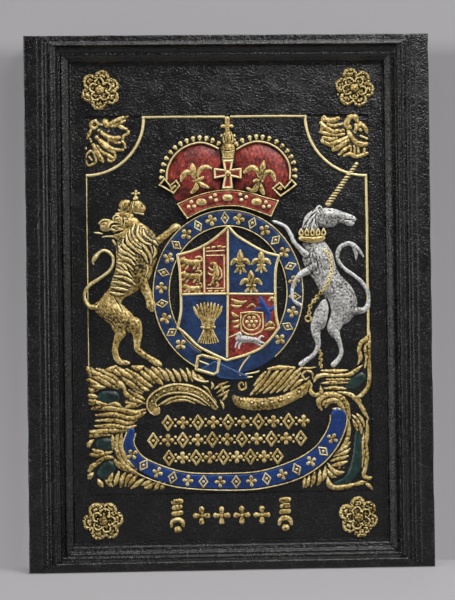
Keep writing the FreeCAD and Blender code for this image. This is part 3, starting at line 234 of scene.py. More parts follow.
def strokeRun(relief, points, swell):
    # swell turns the fall from the stroke's line (1 there, 0 at its edge) and the half width into a height
    layer = np.full(relief["height"].shape, bare)
    xs, zs = relief["xs"], relief["zs"]
    path = smoothPath(points)
    for (ax, az, ar), (bx, bz, br) in zip(path[:-1], path[1:]):
        pad = 1.4 * max(ar, br) + 1.5
        i0, i1 = np.searchsorted(xs, (min(ax, bx) - pad, max(ax, bx) + pad))
        j0, j1 = np.searchsorted(zs, (min(az, bz) - pad, max(az, bz) + pad))
        if i0 == i1 or j0 == j1:
            continue
        x, z = xs[None, i0:i1], zs[j0:j1, None]
        dx, dz = bx - ax, bz - az
        t = np.clip(((x - ax) * dx + (z - az) * dz) / (dx * dx + dz * dz + 1e-9), 0, 1)
        half = ar + (br - ar) * t
        fall = 1 - ((x - ax - dx * t) ** 2 + (z - az - dz * t) ** 2) / half ** 2
        window = layer[j0:j1, i0:i1]
        np.maximum(window, np.maximum(swell(fall, half), bare), out=window)
    return layer


def join(relief, layer, soft):
    # the two heights run into each other like wax over the last few tenths
    high = relief["height"]
    both = np.maximum(high, layer)
    near = np.maximum(soft - np.abs(high - layer), 0) ** 2 / (4 * soft) if soft else 0
    relief["height"] = np.where((high > touching) & (layer > touching), both + near, both)


def limbs(relief, strokes, soft=1.0):
    for lift, points in strokes:
        layer = strokeRun(relief, points,
                          lambda fall, half: lift * half * np.sign(fall) * np.abs(fall) ** 0.75)
        join(relief, layer, soft)


def bands(relief, strokes, soft=0.0):
    for rise, points in strokes:
        join(relief, strokeRun(relief, points, lambda fall, half: rise * (1 - (1 - fall) ** 4)), soft)


def ridges(relief, strokes, over=-0.4):
    # strands that ride on what is already carved; a negative rise cuts a furrow
    raised = np.zeros(relief["height"].shape)
    for rise, points in strokes:
        layer = strokeRun(relief, points, lambda fall, half: np.maximum(fall, 0) ** 0.8)
        layer = np.maximum(layer, 0) * rise
        raised = np.maximum(raised, layer) if rise > 0 else np.minimum(raised, layer)
    relief["height"] = np.where(relief["height"] > over, relief["height"] + raised, relief["height"])


def outlineDistance(relief, outline):
    # how far each place is inside a closed outline, in mm
    x, z = np.meshgrid(relief["xs"], relief["zs"])
    nearest = np.full(x.shape, 1e9)
    inside = np.zeros(x.shape, bool)
    for (ax, az), (bx, bz) in zip(outline, outline[1:] + outline[:1]):
        dx, dz = bx - ax, bz - az
        t = np.clip(((x - ax) * dx + (z - az) * dz) / (dx * dx + dz * dz + 1e-9), 0, 1)
        nearest = np.minimum(nearest, np.hypot(x - ax - dx * t, z - az - dz * t))
        if dz:
            inside ^= ((az > z) != (bz > z)) & (x < ax + dx * (z - az) / dz)
    return np.where(inside, nearest, -nearest)


def sheets(relief, outlines, soft=0.0):
    for rise, edge, outline in outlines:
        inward = outlineDistance(relief, outline)
        rounded = 1 - (1 - np.clip(inward / edge, 0, 1)) ** 2
        join(relief, np.where(inward > 0, rise * rounded, np.maximum(inward * 2 * rise / edge, bare)), soft)


def cups(relief, places, soft=0.3, crest=0.8):
    # scooped petals: (x, z, radius, rise) with a raised lip and a hollow middle
    x, z = np.meshgrid(relief["xs"], relief["zs"])
    for cx, cz, radius, rise in places:
        t = np.hypot(x - cx, z - cz) / radius
        lip = 1 - ((t - crest) / (1 - crest)) ** 2
        bowl = np.where(t < crest, 0.2 + 0.8 * np.maximum(lip, 0), lip)
        join(relief, np.maximum(rise * bowl, bare), soft)


def pressed(relief, cx, cz, radius, level):
    # a round place pressed down, ready for the next ring of petals
    x, z = np.meshgrid(relief["xs"], relief["zs"])
    inside = np.hypot(x - cx, z - cz) < radius
    relief["height"] = np.where(inside, np.minimum(relief["height"], level), relief["height"])


def stepUp(relief, base, over=-1.0):
    # what is carved stands on a piece that is base mm high
    relief["height"] += np.where(relief["height"] > over, base, 0)


def dot(lift, x, z, half):
    return (lift, [(x, z, half), (x + 0.1, z, half)])


def ring(lift, cx, cz, radius, half):
    turns = np.linspace(0, 2 * math.pi, 9)
    return (lift, [(cx + radius * math.cos(a), cz + radius * math.sin(a), half) for a in turns])


def straights(lift, half, line):
    # one straight stroke from each point of a line to the next
    return [(lift, [(ax, az, half), (bx, bz, half)]) for (ax, az), (bx, bz) in zip(line[:-1], line[1:])]


def lozenge(cx, cz, along, across, half, eye, ax=1.0, az=0.0):
    # four sides and a round eye; (ax, az) is the way that it lies
    corners = [(u * ax - v * az, u * az + v * ax)
               for u, v in ((-along, 0), (0, across), (along, 0), (0, -across))]
    outline = [(cx + x, cz + z) for x, z in corners + corners[:1]]
    return straights(1.1, half, outline) + [dot(0.9, cx, cz, eye)]


def leaves(lift, cx, cz, tips, half, neck, root, ax=1.0, az=0.0):
    # leaves from their tips inwards, root being the share of the way where each ends
    turned = [(u * ax - v * az, u * az + v * ax) for u, v in tips]
    return [(lift, [(cx + x, cz + z, half), (cx + root * x, cz + root * z, neck)]) for x, z in turned]


def curve(points, step=2.0):
    return [(x, z) for x, z, half in smoothPath([(x, z, 1) for x, z in points], step)]


def strand(half, *points, ends=0.45):
    last = len(points) - 1
    return [(x, z, half * (ends if i in (0, last) else 1)) for i, (x, z) in enumerate(points)]


def blurred(grid, cells):
    kernel = np.hanning(2 * cells + 3)[1:-1]
    kernel /= kernel.sum()
    padded = np.pad(grid, cells, mode="edge")
    rows = np.array([np.convolve(row, kernel, "valid") for row in padded])
    return np.array([np.convolve(column, kernel, "valid") for column in rows.T]).T


def weathered(relief, amount=0.12, sizeMm=7.0, seed=3):
    # the soft unevenness of a hand-cut pattern cast in sand
    xs, zs = relief["xs"], relief["zs"]
    rng = np.random.default_rng(seed)
    coarse = rng.normal(size=(int((zs[-1] - zs[0]) / sizeMm) + 4, int((xs[-1] - xs[0]) / sizeMm) + 4))
    u, v = (xs - xs[0]) / sizeMm, (zs - zs[0]) / sizeMm
    i, j = u.astype(int), v.astype(int)
    fu, fv = u - i, (v - j)[:, None]
    fu, fv = fu * fu * (3 - 2 * fu), fv * fv * (3 - 2 * fv)
    low = coarse[np.ix_(j, i)] * (1 - fu) + coarse[np.ix_(j, i + 1)] * fu
    high = coarse[np.ix_(j + 1, i)] * (1 - fu) + coarse[np.ix_(j + 1, i + 1)] * fu
    bumps = low * (1 - fv) + high * fv
    relief["height"] = np.where(relief["height"] > 0, relief["height"] + amount * bumps, relief["height"])


def camel(cadName):
    first, *others = cadName.split("_")
    return first + "".join(word.capitalize() for word in others)


def ridePiece(piece, material, cadNames=()):
    bpy.context.scene.collection.objects.link(piece)
    piece.data.materials.append(material)
    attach(piece, "root")
    if cadNames:
        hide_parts(*cadNames)
    return piece


def castRelief(name, relief, seat, material, cadNames=(), lipMm=2.4, shy=0.35):
    # a closed skin: the carved face, a flat underside sunk 1 mm into what carries it, and walls between
    xs, zs, height = relief["xs"], relief["zs"], relief["height"]
    sink = 1.0
    corners = np.maximum(np.maximum(height[:-1, :-1], height[1:, :-1]),
                         np.maximum(height[:-1, 1:], height[1:, 1:]))
    cells = corners > -0.7 * sink
    # cells that meet only at a corner get a third beside them, so that no edge has four faces
    for turn in range(6):
        falling = cells[:-1, :-1] & cells[1:, 1:] & ~cells[:-1, 1:] & ~cells[1:, :-1]
        rising = cells[:-1, 1:] & cells[1:, :-1] & ~cells[:-1, :-1] & ~cells[1:, 1:]
        if not (falling.any() or rising.any()):
            break
        cells[:-1, 1:] |= falling
        cells[:-1, :-1] |= rising
    rows, cols = np.nonzero(cells)
    used = np.zeros(height.shape, bool)
    for down, right in ((0, 0), (0, 1), (1, 0), (1, 1)):
        used[rows + down, cols + right] = True
    index = np.zeros(height.shape, int)
    index[used] = np.arange(used.sum())
    vr, vc = np.nonzero(used)
    count = len(vr)
    face = np.maximum(height, -sink)
    top = np.c_[xs[vc], seat - face[used], zs[vr]]
    under = np.c_[xs[vc], np.full(count, seat + sink + 0.2), zs[vr]]
    a, b = index[rows, cols], index[rows, cols + 1]
    c, d = index[rows + 1, cols + 1], index[rows + 1, cols]
    quads = [np.c_[a, b, c, d], np.c_[a, d, c, b] + count]
    around = np.pad(cells, 1)
    for down, right, p, q in ((-1, 0, a, b), (0, 1, b, c), (1, 0, c, d), (0, -1, d, a)):
        rimmed = ~around[rows + 1 + down, cols + 1 + right]
        p, q = p[rimmed], q[rimmed]
        quads.append(np.c_[q, p, p + count, q + count])
    quads = np.vstack(quads)
    mesh = bpy.data.meshes.new(name)
    mesh.from_pydata((np.vstack([top, under]) * mm).tolist(), [], quads.tolist())
    mesh.polygons.foreach_set("use_smooth", np.ones(len(quads), bool))
    # how far a place stands above its surroundings, within lipMm, tells the paint where the brush reached,
    # where
    #     # the cuts get painted shade and the tops a painted highlight; it also stays off what is lower
    #     than shy, leaving a
    #     # dark foot that is partly a black paint line and partly painted contact shadow
    reach = max(2, int(lipMm / relief["cell"]))
    stand = face - blurred(np.maximum(height, -0.5), reach)
    hollow = np.minimum(stand + 0.12, (face - shy) * 1.4)[used]
    attribute = mesh.attributes.new("hollow", "FLOAT", "POINT")
    attribute.data.foreach_set("value", np.concatenate([hollow, np.full(count, -2.0)]).astype(np.float32))
    piece = bpy.data.objects.new(name, mesh)
    return ridePiece(piece, material, cadNames)


# The moulded rail round the plate: how far out from the opening and how high above the field, in mm, at the
# sides, then at the foot, then at the top. A low lip, a round facing inwards, a hollow, beads, reeds and
# a flat.
railCut = [
    (0.0, 0.0, 0.0, 0.0, 0.0, 0.0), (0.0, 3.2, 0.0, 3.2, 0.0, 3.2), (3.2, 3.4, 1.4, 3.4, 1.2, 3.4),
    (3.5, 5.2, 1.8, 5.2, 1.5, 5.2), (4.4, 5.6, 2.6, 5.4, 2.0, 5.6), (5.2, 5.2, 5.0, 5.6, 2.6, 5.2),
    (5.8, 6.6, 5.4, 6.2, 3.6, 6.6), (6.6, 8.8, 6.2, 7.4, 4.8, 8.8), (7.6, 9.6, 7.0, 7.8, 5.6, 9.6),
    (8.6, 10.0, 11.0, 7.8, 6.2, 10.0), (9.8, 11.4, 11.6, 8.2, 7.2, 11.4),
    (11.4, 12.8, 12.8, 10.6, 8.6, 12.8), (13.0, 13.8, 13.6, 11.6, 10.0, 13.8),
    (14.2, 14.1, 14.2, 11.9, 11.0, 14.1), (14.9, 13.4, 15.4, 12.0, 11.6, 13.4),
    (15.4, 12.2, 16.6, 11.9, 12.0, 12.2), (16.4, 11.8, 17.0, 12.3, 13.8, 11.8),
    (18.2, 12.6, 17.8, 13.7, 16.4, 12.6), (19.8, 15.0, 18.3, 14.2, 19.4, 15.0),
    (20.8, 17.8, 19.4, 14.3, 21.0, 17.8), (21.5, 19.2, 21.2, 14.4, 21.7, 19.8),
    (22.8, 20.0, 21.6, 14.9, 22.2, 21.2), (24.2, 19.9, 22.4, 17.2, 22.7, 21.6),
    (25.0, 19.2, 23.0, 18.8, 23.4, 21.1), (25.8, 19.5, 23.6, 19.8, 24.2, 20.4),
    (27.2, 20.4, 24.2, 20.4, 24.6, 20.2), (28.6, 20.2, 24.8, 20.7, 25.1, 20.2),
    (29.4, 19.0, 25.2, 20.7, 25.6, 20.0), (30.8, 18.6, 25.5, 20.6, 26.2, 19.4),
    (31.6, 19.4, 25.8, 20.5, 26.7, 18.8), (32.4, 20.2, 26.1, 20.5, 27.1, 18.5),
    (33.2, 19.9, 26.4, 20.5, 27.5, 18.4), (34.0, 18.9, 26.7, 20.5, 28.0, 18.4),
    (35.0, 18.9, 27.0, 20.5, 28.5, 18.4), (35.8, 19.8, 27.3, 20.5, 29.0, 18.4),
    (36.6, 20.3, 27.6, 20.5, 29.5, 18.4), (37.5, 19.9, 27.9, 20.5, 30.0, 18.4),
    (38.4, 18.9, 28.2, 20.5, 30.5, 18.4), (41.8, 18.8, 28.6, 20.5, 31.0, 18.4),
    (42.9, 20.2, 29.0, 20.5, 31.5, 18.4), (44.0, 20.9, 29.6, 20.5, 32.0, 18.4),
    (45.2, 20.6, 30.4, 20.5, 32.6, 18.4), (52.0, 20.5, 31.6, 20.5, 33.3, 18.4),
    (57.4, 20.4, 33.6, 20.4, 34.2, 18.4), (59.0, 20.1, 34.4, 20.1, 34.6, 18.2),
    (59.7, 19.4, 34.8, 19.4, 34.9, 17.8), (60.0, 18.0, 35.0, 18.0, 35.0, 17.0),
    (60.0, 0.0, 35.0, 0.0, 35.0, 0.0),
]
opening = {"half": 190.0, "foot": 35.0, "top": 625.0}
railRun = {"stationMm": 4.5, "wearMm": 1.6, "wearEach": 34, "edge": 59.5, "waveMm": 0.22, "waveEach": 26,
           "rippleMm": 0.1, "rippleEach": 7, "highest": 22}


def railPiece(name, side, cadNames):
    stations = []
    length = opening["top"] - opening["foot"] if side in ("left", "right") else 2 * opening["half"]
    count = int(length / railRun["stationMm"])
    for station in range(count + 1):
        t = station / count
        row = []
        for out, highSide, foot, highFoot, head, highTop in railCut:
            high = {"bottom": highFoot, "top": highTop}.get(side, highSide)
            # the outer edge is worn back a little here and there
            if out > railRun["edge"] and high:
                bite = noise.noise(Vector((t * length / railRun["wearEach"], out / 9, len(side))))
                worn = railRun["wearMm"] * max(bite, 0)
                out, foot, head = out - worn, foot - worn, head - worn
            if side in ("left", "right"):
                x = (opening["half"] + out) * (-1 if side == "left" else 1)
                low, top = opening["foot"] - foot, opening["top"] + head
                z = low + (top - low) * t
            else:
                x = (opening["half"] + out) * (2 * t - 1)
                z = opening["foot"] - foot if side == "bottom" else opening["top"] + head
            # the wavy run of a moulding planed by hand and cast in sand
            spot = Vector((x, z, high))
            wave = railRun["waveMm"] * noise.noise(spot / railRun["waveEach"])
            wave += railRun["rippleMm"] * noise.noise(spot / railRun["rippleEach"])
            lifted = min(max(high + wave * min(high, 4) / 4, 0), railRun["highest"]) if high else high
            row.append((x, seats["field"] - lifted, z))
        stations.append(row)
    width = len(railCut)
    verts = [point for row in stations for point in row]
    faces = []
    for station in range(count):
        for k in range(width):
            a, b = station * width + k, station * width + (k + 1) % width
            faces.append((a, b, b + width, a + width))
    faces.append(tuple(range(width)))
    faces.append(tuple(count * width + k for k in reversed(range(width))))
    if side in ("right", "bottom"):
        faces = [tuple(reversed(face)) for face in faces]
    mesh = bpy.data.meshes.new(name)
    mesh.from_pydata([tuple(v * mm for v in point) for point in verts], [], faces)
    mesh.polygons.foreach_set("use_smooth", np.ones(len(faces), bool))
    mesh.set_sharp_from_angle(angle=math.radians(40))
    return ridePiece(bpy.data.objects.new(name, mesh), black, cadNames)


railPiece("railLeft", "left", ("moulding_left", "side_band_left"))
railPiece("railRight", "right", ("moulding_right", "side_band_right"))
railPiece("railTop", "top", ("moulding_top", "top_band"))
railPiece("railBottom", "bottom", ("moulding_bottom", "bottom_band"))
print("rails cast")

for name in ("back_plate", "margin_left", "margin_right", "frieze", "base_strip", "groove_rib_left_outer",
             "groove_rib_left_inner", "groove_rib_right_inner", "groove_rib_right_outer"):
    nodes[name].data.materials.clear()
    nodes[name].data.materials.append(black)


# Lion, gilt, on the left of the arms, rearing to the right with its head turned back
lionBody = [
    (0.4, [(-116, 414, 17.5), (-114, 400, 26.5), (-116, 384, 24.5), (-120, 368, 22), (-131, 354, 16),
           (-139, 344, 11.5), (-146, 334, 12), (-150, 326, 14)]),
    (0.45, [(-161, 325, 8), (-149, 322, 14), (-136, 312, 14), (-124, 304, 11)]),
    (0.6, [(-137, 304, 11), (-136, 294, 7.5), (-140.4, 283, 4.6), (-143, 273, 4.1), (-141.4, 263, 4),
           (-137, 257.5, 3.8), (-130, 256, 3.2), (-126, 255.5, 2)]),
    (0.6, [(-119, 303, 10), (-115, 292, 6.6), (-115.4, 280, 4.3), (-115, 273, 4.1), (-107, 265.5, 3.8),
           (-98, 259.5, 4), (-90, 254.5, 4.2), (-87, 253, 2.6)]),
    (1.0, [(-104, 397, 8), (-93, 404, 6.4), (-86, 408.5, 5), (-79, 413.5, 4.6), (-72, 419, 4.4),
           (-66, 423.5, 5), (-62, 424, 3.4)]),
    (0.85, [(-117, 373, 9.5), (-111, 362, 9), (-107, 352, 7), (-102.5, 343, 6), (-99, 334, 5.4),
            (-97, 327, 6.8), (-96, 323, 4.8)]),
    (1.5, [(-166, 325, 4), (-173, 326, 3.4), (-177.5, 331, 3.2), (-180, 338, 2.8), (-178.5, 346, 2.8),
           (-173, 353, 2.8), (-164, 359, 2.5), (-155, 365, 2.4), (-148, 371, 2.2), (-144, 379, 2.1),
           (-144.5, 388, 2.3), (-150, 394, 2.4), (-156, 395.5, 2.4), (-162, 392, 2.4), (-166, 387, 3.4),
           (-169, 382, 2.2), (-168, 378.5, 1)]),
]
lionHead = [
    (0.52, [(-119, 428, 9), (-128, 430, 9.5), (-137, 430.5, 8.5)]),
    (0.6, [(-122, 438, 4.2), (-131, 440, 4.2), (-139, 440, 2.6)]),
    (0.5, [(-141, 426.5, 7), (-135, 418, 8.5), (-128, 411, 9)]),
    (0.8, [(-153.4, 425.6, 6.9), (-150.5, 426.4, 6.9), (-145, 428, 6)]),
    (1.1, [(-160, 429.6, 2), (-156, 432.6, 2.4), (-150, 433, 2), (-146, 431, 1.6)]),
    ring(2.2, -138.8, 435, 4.2, 1.5), (2.6, [(-139, 435, 1.7), (-138.6, 435, 1.7)]),
    ring(1.9, -124.8, 433.6, 3.9, 1.6),
    (1.8, [(-151, 420.6, 1.6), (-146, 422.2, 2.3), (-140.5, 420, 2.5), (-136, 421.6, 2.3),
           (-133, 425.4, 1.6)]),
    (1.6, [(-141, 418, 1.9), (-137, 414, 2.2), (-131, 413.6, 2)]),
    (1.1, [(-157, 412.4, 1), (-150, 413.4, 1.6), (-142.6, 412.8, 1.9), (-136, 409.6, 3)]),
    (1.0, [(-143.6, 408, 1.6), (-140.6, 403, 2.2)]),
    (1.1, [(-166.6, 418, 1.1), (-161.5, 417.4, 1.6), (-157, 416.6, 1.1)]),
]
lionHair = []
for lock in (
        [(-117, 427), (-120, 417), (-116, 408), (-108, 400)],
        [(-112, 425), (-113, 415), (-106, 406), (-97, 402)], [(-106, 421), (-104, 414), (-98, 409)],
        [(-123, 421), (-122, 412), (-116, 403), (-109, 398)],
        [(-127, 414), (-125, 405), (-118, 398), (-110, 391)],
        [(-131, 409), (-131, 402), (-125, 396), (-117, 390)],
        [(-137, 401), (-132, 394), (-124, 390), (-116, 383)], [(-98, 408), (-93, 406), (-88, 401)],
        [(-106, 400), (-101, 394), (-97, 386), (-97, 378)], [(-112, 396), (-105, 389), (-101, 380)],
        [(-137, 391), (-130, 386), (-123, 383), (-117, 377)], [(-139, 381), (-133, 378), (-127, 372)],
        [(-141, 373), (-134, 369), (-127, 367), (-121, 362)], [(-93, 400), (-91, 393), (-94, 386)],
        [(-143, 364), (-132, 362), (-123, 358), (-117, 353)], [(-145, 357), (-134, 355), (-123, 351)],
        [(-146, 350), (-136, 348), (-126, 346)], [(-148, 344), (-139, 341.5), (-131, 341)]):
    lionHair.append((2.4, strand(2.5, *lock)))
for lock in ([(-133, 404), (-136, 396), (-131, 389)], [(-126, 394), (-121, 388), (-112, 384)],
             [(-101, 404), (-96, 398), (-95, 391)], [(-121, 407), (-116, 399), (-107, 394)],
             [(-131, 380), (-124, 376), (-119, 371)], [(-109, 404), (-103, 399), (-99, 392)],
             [(-116, 413), (-112, 406), (-104, 400)], [(-137, 377), (-131, 371), (-125, 366)],
             [(-102, 377), (-101, 370), (-104, 363)]):
    lionHair.append((1.5, strand(1.3, *lock)))
lionCuts = [
    (-1.4, strand(1.1, (-143, 338), (-138, 330), (-133, 320))),
    (-1.2, strand(1.0, (-158, 312), (-147, 307), (-141, 298))),
    (-1.2, strand(0.9, (-128, 298), (-126, 288))),
    (-1.6, strand(1.2, (-127, 378), (-123, 368), (-118, 360))), (-1.5, strand(0.8, (-74, 421), (-67, 427))),
    (-1.5, strand(0.8, (-70, 416), (-62, 421))), (-1.5, strand(0.8, (-101, 327), (-99, 320))),
    (-1.5, strand(0.8, (-95, 327), (-94, 321))), (-1.3, strand(0.8, (-134, 259), (-129, 254))),
    (-1.3, strand(0.8, (-95, 259), (-90, 253))), (-2.2, strand(1.6, (-126, 434), (-124.6, 433.4))),
    (-1.8, strand(1.1, (-158, 427.6), (-154, 428.6))),
    (-2.6, strand(1.6, (-147.6, 422.6), (-145.6, 427), (-141, 428.6), (-134, 428))),
    (-2.4, strand(2.0, (-143, 416.6), (-137, 418), (-131, 420))),
    (-2.0, strand(1.3, (-131.6, 437), (-130.6, 432), (-131, 426))),
    (-1.8, strand(1.0, (-157, 415.4), (-148, 415.2), (-141, 416))),
]
for k in range(15):
    # short tufts over the hip
    x, z = -162 + 6.4 * (k % 6), 329 - 3.0 * (k % 6) - 8 * (k // 6)
    lionCuts.append((-0.9, strand(1.0, (x, z + 2), (x + 2.6, z - 1.5))))

lion = blankRelief((-186, 246, -54, 446), 0.55)
limbs(lion, lionBody, soft=1.4)
limbs(lion, lionHead, soft=0.5)
ridges(lion, lionHair, over=1.2)
ridges(lion, lionCuts)
weathered(lion, 0.2, 2.6)
castRelief("lionFigure", lion, seats["field"], gilt, ["lion"])

# the lion's own small crown
lionCrown = blankRelief((-142, 434, -98, 474), 0.45)
limbs(lionCrown, [
    (0.65, [(-131, 447, 4.5), (-129.5, 452, 6.4), (-125, 454.5, 4)]),
    (0.62, [(-121, 447, 6), (-115, 450.5, 7.6), (-108.5, 447.5, 6)]),
    (1.2, [(-136, 446, 1.5), (-130, 443.5, 1.8), (-123, 446.5, 1.7), (-116, 443, 1.8), (-106, 440.5, 1.6)]),
    (1.1, [(-128, 440, 1.6), (-121.5, 443.5, 1.6)]), (1.1, [(-122, 446, 1.5), (-121, 439, 1.3)]),
    (1.0, [(-115.5, 459.6, 3.2), (-114.8, 460.4, 3.2)]),
    (1.0, [(-115, 462, 1.5), (-114.6, 469, 1.9)]), (1.0, [(-119, 466.4, 1.5), (-110.6, 466.4, 1.5)]),
], soft=0.4)
ridges(lionCrown, [(-2.0, strand(1.2, (-124, 457), (-123.5, 451), (-124, 446))),
                   (1.2, strand(1.0, (-117, 456), (-119, 450), (-118, 445))),
                   (1.2, strand(1.0, (-110, 452), (-112, 447))),
                   (1.2, strand(1.0, (-131, 455), (-129, 448)))])
weathered(lionCrown, 0.2, 2.2, seed=4)
castRelief("lionCrown", lionCrown, seats["field"], gilt, ["lion_crown"])

# Unicorn, silver white, on the right
unicornBody = [
    (0.45, [(106, 396, 16), (111, 383, 19.5), (116.5, 370, 17.4), (121.5, 361, 16), (126.5, 351.5, 16.4),
            (134.5, 342, 17.4), (140, 333, 18.2), (142.6, 323, 17.2), (141, 314, 13.5)]),
    (0.5, [(103, 422, 11.5), (105, 430, 11), (111, 436, 10)]),
    (0.62, [(119, 431, 11.5), (122, 432, 11)]),
    (0.76, [(121, 437, 9.4), (132, 437.4, 7.6), (142, 435.4, 6), (151, 433, 5.2), (155, 431.6, 4.6)]),
    (0.7, [(122, 429, 8.4), (128, 429, 7.2), (137, 432, 6), (146, 430, 5.2), (151, 427.6, 4.6),
           (154, 426.4, 3.4)]),
    (1.0, [(148, 435.6, 2.2), (154, 433.6, 2.8), (158, 431, 2)]),
    (1.0, [(147, 426, 2), (152, 425, 2.4), (156, 426.6, 1.8)]),
    (1.1, [(110.5, 438, 1.6), (110, 444, 1.8), (113.5, 448, 1.7), (117, 444, 1.7), (118, 437, 1.5)]),
    (1.5, [(97, 388, 6), (88, 396.6, 3.8), (81.4, 404, 3.3), (77.6, 413, 2.9), (72, 422, 2.6),
           (65, 426.4, 2.5), (58.5, 429, 2.4), (56, 430, 1.5)]),
    (1.5, [(106, 374, 7), (98, 367.6, 5.4), (89, 363, 4.4), (82, 355.6, 3.6), (79, 347, 3.2),
           (78.2, 338.6, 3), (80, 331.5, 3), (84, 327.6, 3.4), (88.5, 325, 3)]),
    (0.6, [(118.6, 329, 3.2), (117, 321.5, 7), (114.5, 314, 8.8), (111.6, 304, 9.6), (107.8, 296, 7),
           (108, 285, 4.8)]),
    (0.95, [(108, 288, 4.8), (110, 276, 3.6), (107.4, 268, 3), (102, 261, 2.9), (95, 256.4, 3.2),
            (88.6, 251.6, 3.6)]),
    (0.55, [(143, 319, 14), (136, 309.5, 11.2), (131.6, 301.5, 9.8), (130, 295, 8.4), (132, 287, 5.4)]),
    (0.95, [(131.6, 291, 5.4), (136, 279, 3.7), (138.6, 270, 3), (138, 262, 2.9), (134, 255.4, 3.3),
            (129, 250.4, 3.8)]),
    (0.85, [(153, 318, 7), (162, 317, 4.6), (169, 318.5, 3.8), (173.4, 325, 3.5), (174.4, 335, 3.2),
            (171, 345, 2.9), (164, 354.5, 2.7), (153.5, 363, 2.6), (144, 370, 2.6), (137.5, 378, 2.7),
            (135.4, 387, 2.9), (139, 396, 3.1), (148, 401, 3.2), (155, 399.5, 3.2), (162, 393, 3),
            (168, 385, 1.4)]),
    (0.9, [(155, 399, 2.6), (159, 390, 2.9), (158.6, 381.6, 1.2)]),
]
unicornHair = []
for lock in ([(109, 443), (100, 436), (92, 423)], [(108, 438), (101, 430), (97, 421)],
             [(104, 442), (96, 433), (90.5, 422)], [(108, 432), (105, 426), (103, 420)]):
    unicornHair.append((1.2, strand(1.8, *lock)))
unicornHair.append((1.0, strand(1.4, (121, 446), (126, 446.6), (131, 443.6))))
for k in range(15):
    # ruffled coat on the chest
    x, z = 96 + 4.3 * (k % 5) + 2 * (k // 5), 394 - 2.0 * (k % 5) - 9 * (k // 5)
    unicornHair.append((0.5, strand(1.5, (x, z), (x + 1.6, z - 4), (x + 1, z - 8))))
unicornCuts = [
    (-2.4, strand(1.5, (124.5, 443), (127.5, 442.4))),
    (-1.6, strand(0.9, (145, 430.6), (151, 430.6), (158, 430))),
    (-1.6, strand(0.9, (153, 434.4), (155.5, 433.6))), (-2.0, strand(1.4, (113, 444.5), (114.5, 440))),
    (-1.5, strand(1.2, (109, 438), (108, 430), (110, 423))),
    (-1.8, strand(1.4, (120.8, 335), (124.4, 326), (125.2, 316), (123.4, 307), (120, 299))),
    (-1.3, strand(1.2, (97, 371), (103, 365), (108, 359))), (-1.2, strand(0.8, (92, 257), (89, 250))),
    (-1.2, strand(0.8, (132, 255), (128, 249))), (-1.2, strand(0.8, (62, 430), (59, 426))),
    (-1.2, strand(0.8, (84, 331), (87, 325))),
]

unicorn = blankRelief((50, 242, 182, 455), 0.55)
limbs(unicorn, unicornBody, soft=1.4)
ridges(unicorn, unicornHair, over=1.0)
ridges(unicorn, unicornCuts)
weathered(unicorn, 0.22, 2.4)
castRelief("unicornFigure", unicorn, seats["field"], white, ["unicorn"])

# its twisted horn, coronet collar and chain, gilt
horn = blankRelief((116, 444, 168, 508), 0.45)
limbs(horn, [(0.9, [(125, 451, 4), (142, 474.5, 3.5), (161, 500.5, 2.5)])])
hornTwist = {"turns": 15, "footX": 125, "footZ": 451, "across": 36, "up": 49.5, "cut": -1.8,
             "cutHalf": 0.85}
twists = []
for k in range(hornTwist["turns"]):
    t = (k + 0.5) / hornTwist["turns"]
    x, z = hornTwist["footX"] + hornTwist["across"] * t, hornTwist["footZ"] + hornTwist["up"] * t
    half = 4.4 - 1.8 * t
    ends = ((x - half * 0.95, z + half * 0.1), (x + half * 0.95, z - half * 0.1))
    twists += straights(hornTwist["cut"], hornTwist["cutHalf"], ends)
ridges(horn, twists)
castRelief("unicornHorn", horn, seats["field"], gilt, ["unicorn_horn"])

collar = blankRelief((82, 396, 126, 426), 0.45)
collarBody = [(0.75, [(89.5, 408, 3), (97, 407, 4.6), (104, 406.6, 4.8), (111, 407, 4.6),
                      (117.5, 408.4, 3)])]
collarLeaves = ((91, -1), (97.5, -0.5), (104, 0), (110.5, 0.6), (117, 1))  # x of the foot, lean of the tip
for bend in (-2.2, 2.2):
    # the two sides of each leaf
    collarBody += [(1.0, [(x, 410, 2), (x + lean + bend, 414, 1.5), (x + lean, 419, 1.7)])
                   for x, lean in collarLeaves]
limbs(collar, collarBody, soft=0.3)
ridges(collar, [(1.3, [(x, 407, 1.7), (x + 0.1, 407.1, 1.7)]) for x in (91.5, 96, 100.5, 105, 109.5, 114)]
       + [(-1.2, strand(0.8, (88, 411), (103, 409.8), (119, 411.4)))])
stepUp(collar, 6.4, over=-1.5)
castRelief("coronetCollar", collar, seats["field"], gilt, ["unicorn_collar"], shy=7.0)

chainPath = curve([(119.6, 394), (125.6, 385.6), (127.8, 374), (125, 360), (120, 347), (112.8, 338.4),
                   (104.2, 328.6), (99.6, 321), (99.4, 313)], 3.0)
chain = blankRelief((88, 240, 134, 406), 0.45)
links = []
for k, ((ax, az), (bx, bz)) in enumerate(zip(chainPath[:-1], chainPath[1:])):
    # links turn about: one lies flat and open, the next stands on edge
    if k % 2:
        links.append((1.3, [(ax, az, 1.6), (bx, bz, 1.6)]))
    else:
        links.append(ring(1.4, (ax + bx) / 2, (az + bz) / 2, 2.0, 1.05))
links.append(ring(1.0, 98, 308, 3.6, 1.4))
for k in range(6):
    # the loose end between the hind legs
    sway, rise = 0.9 * (-1) ** k, 3.6 * k
    links.append((1.0, [(112.6 + sway, 247 + rise, 1.7), (113.2 + sway, 249.6 + rise, 1.7)]))
limbs(chain, links, soft=0.2)
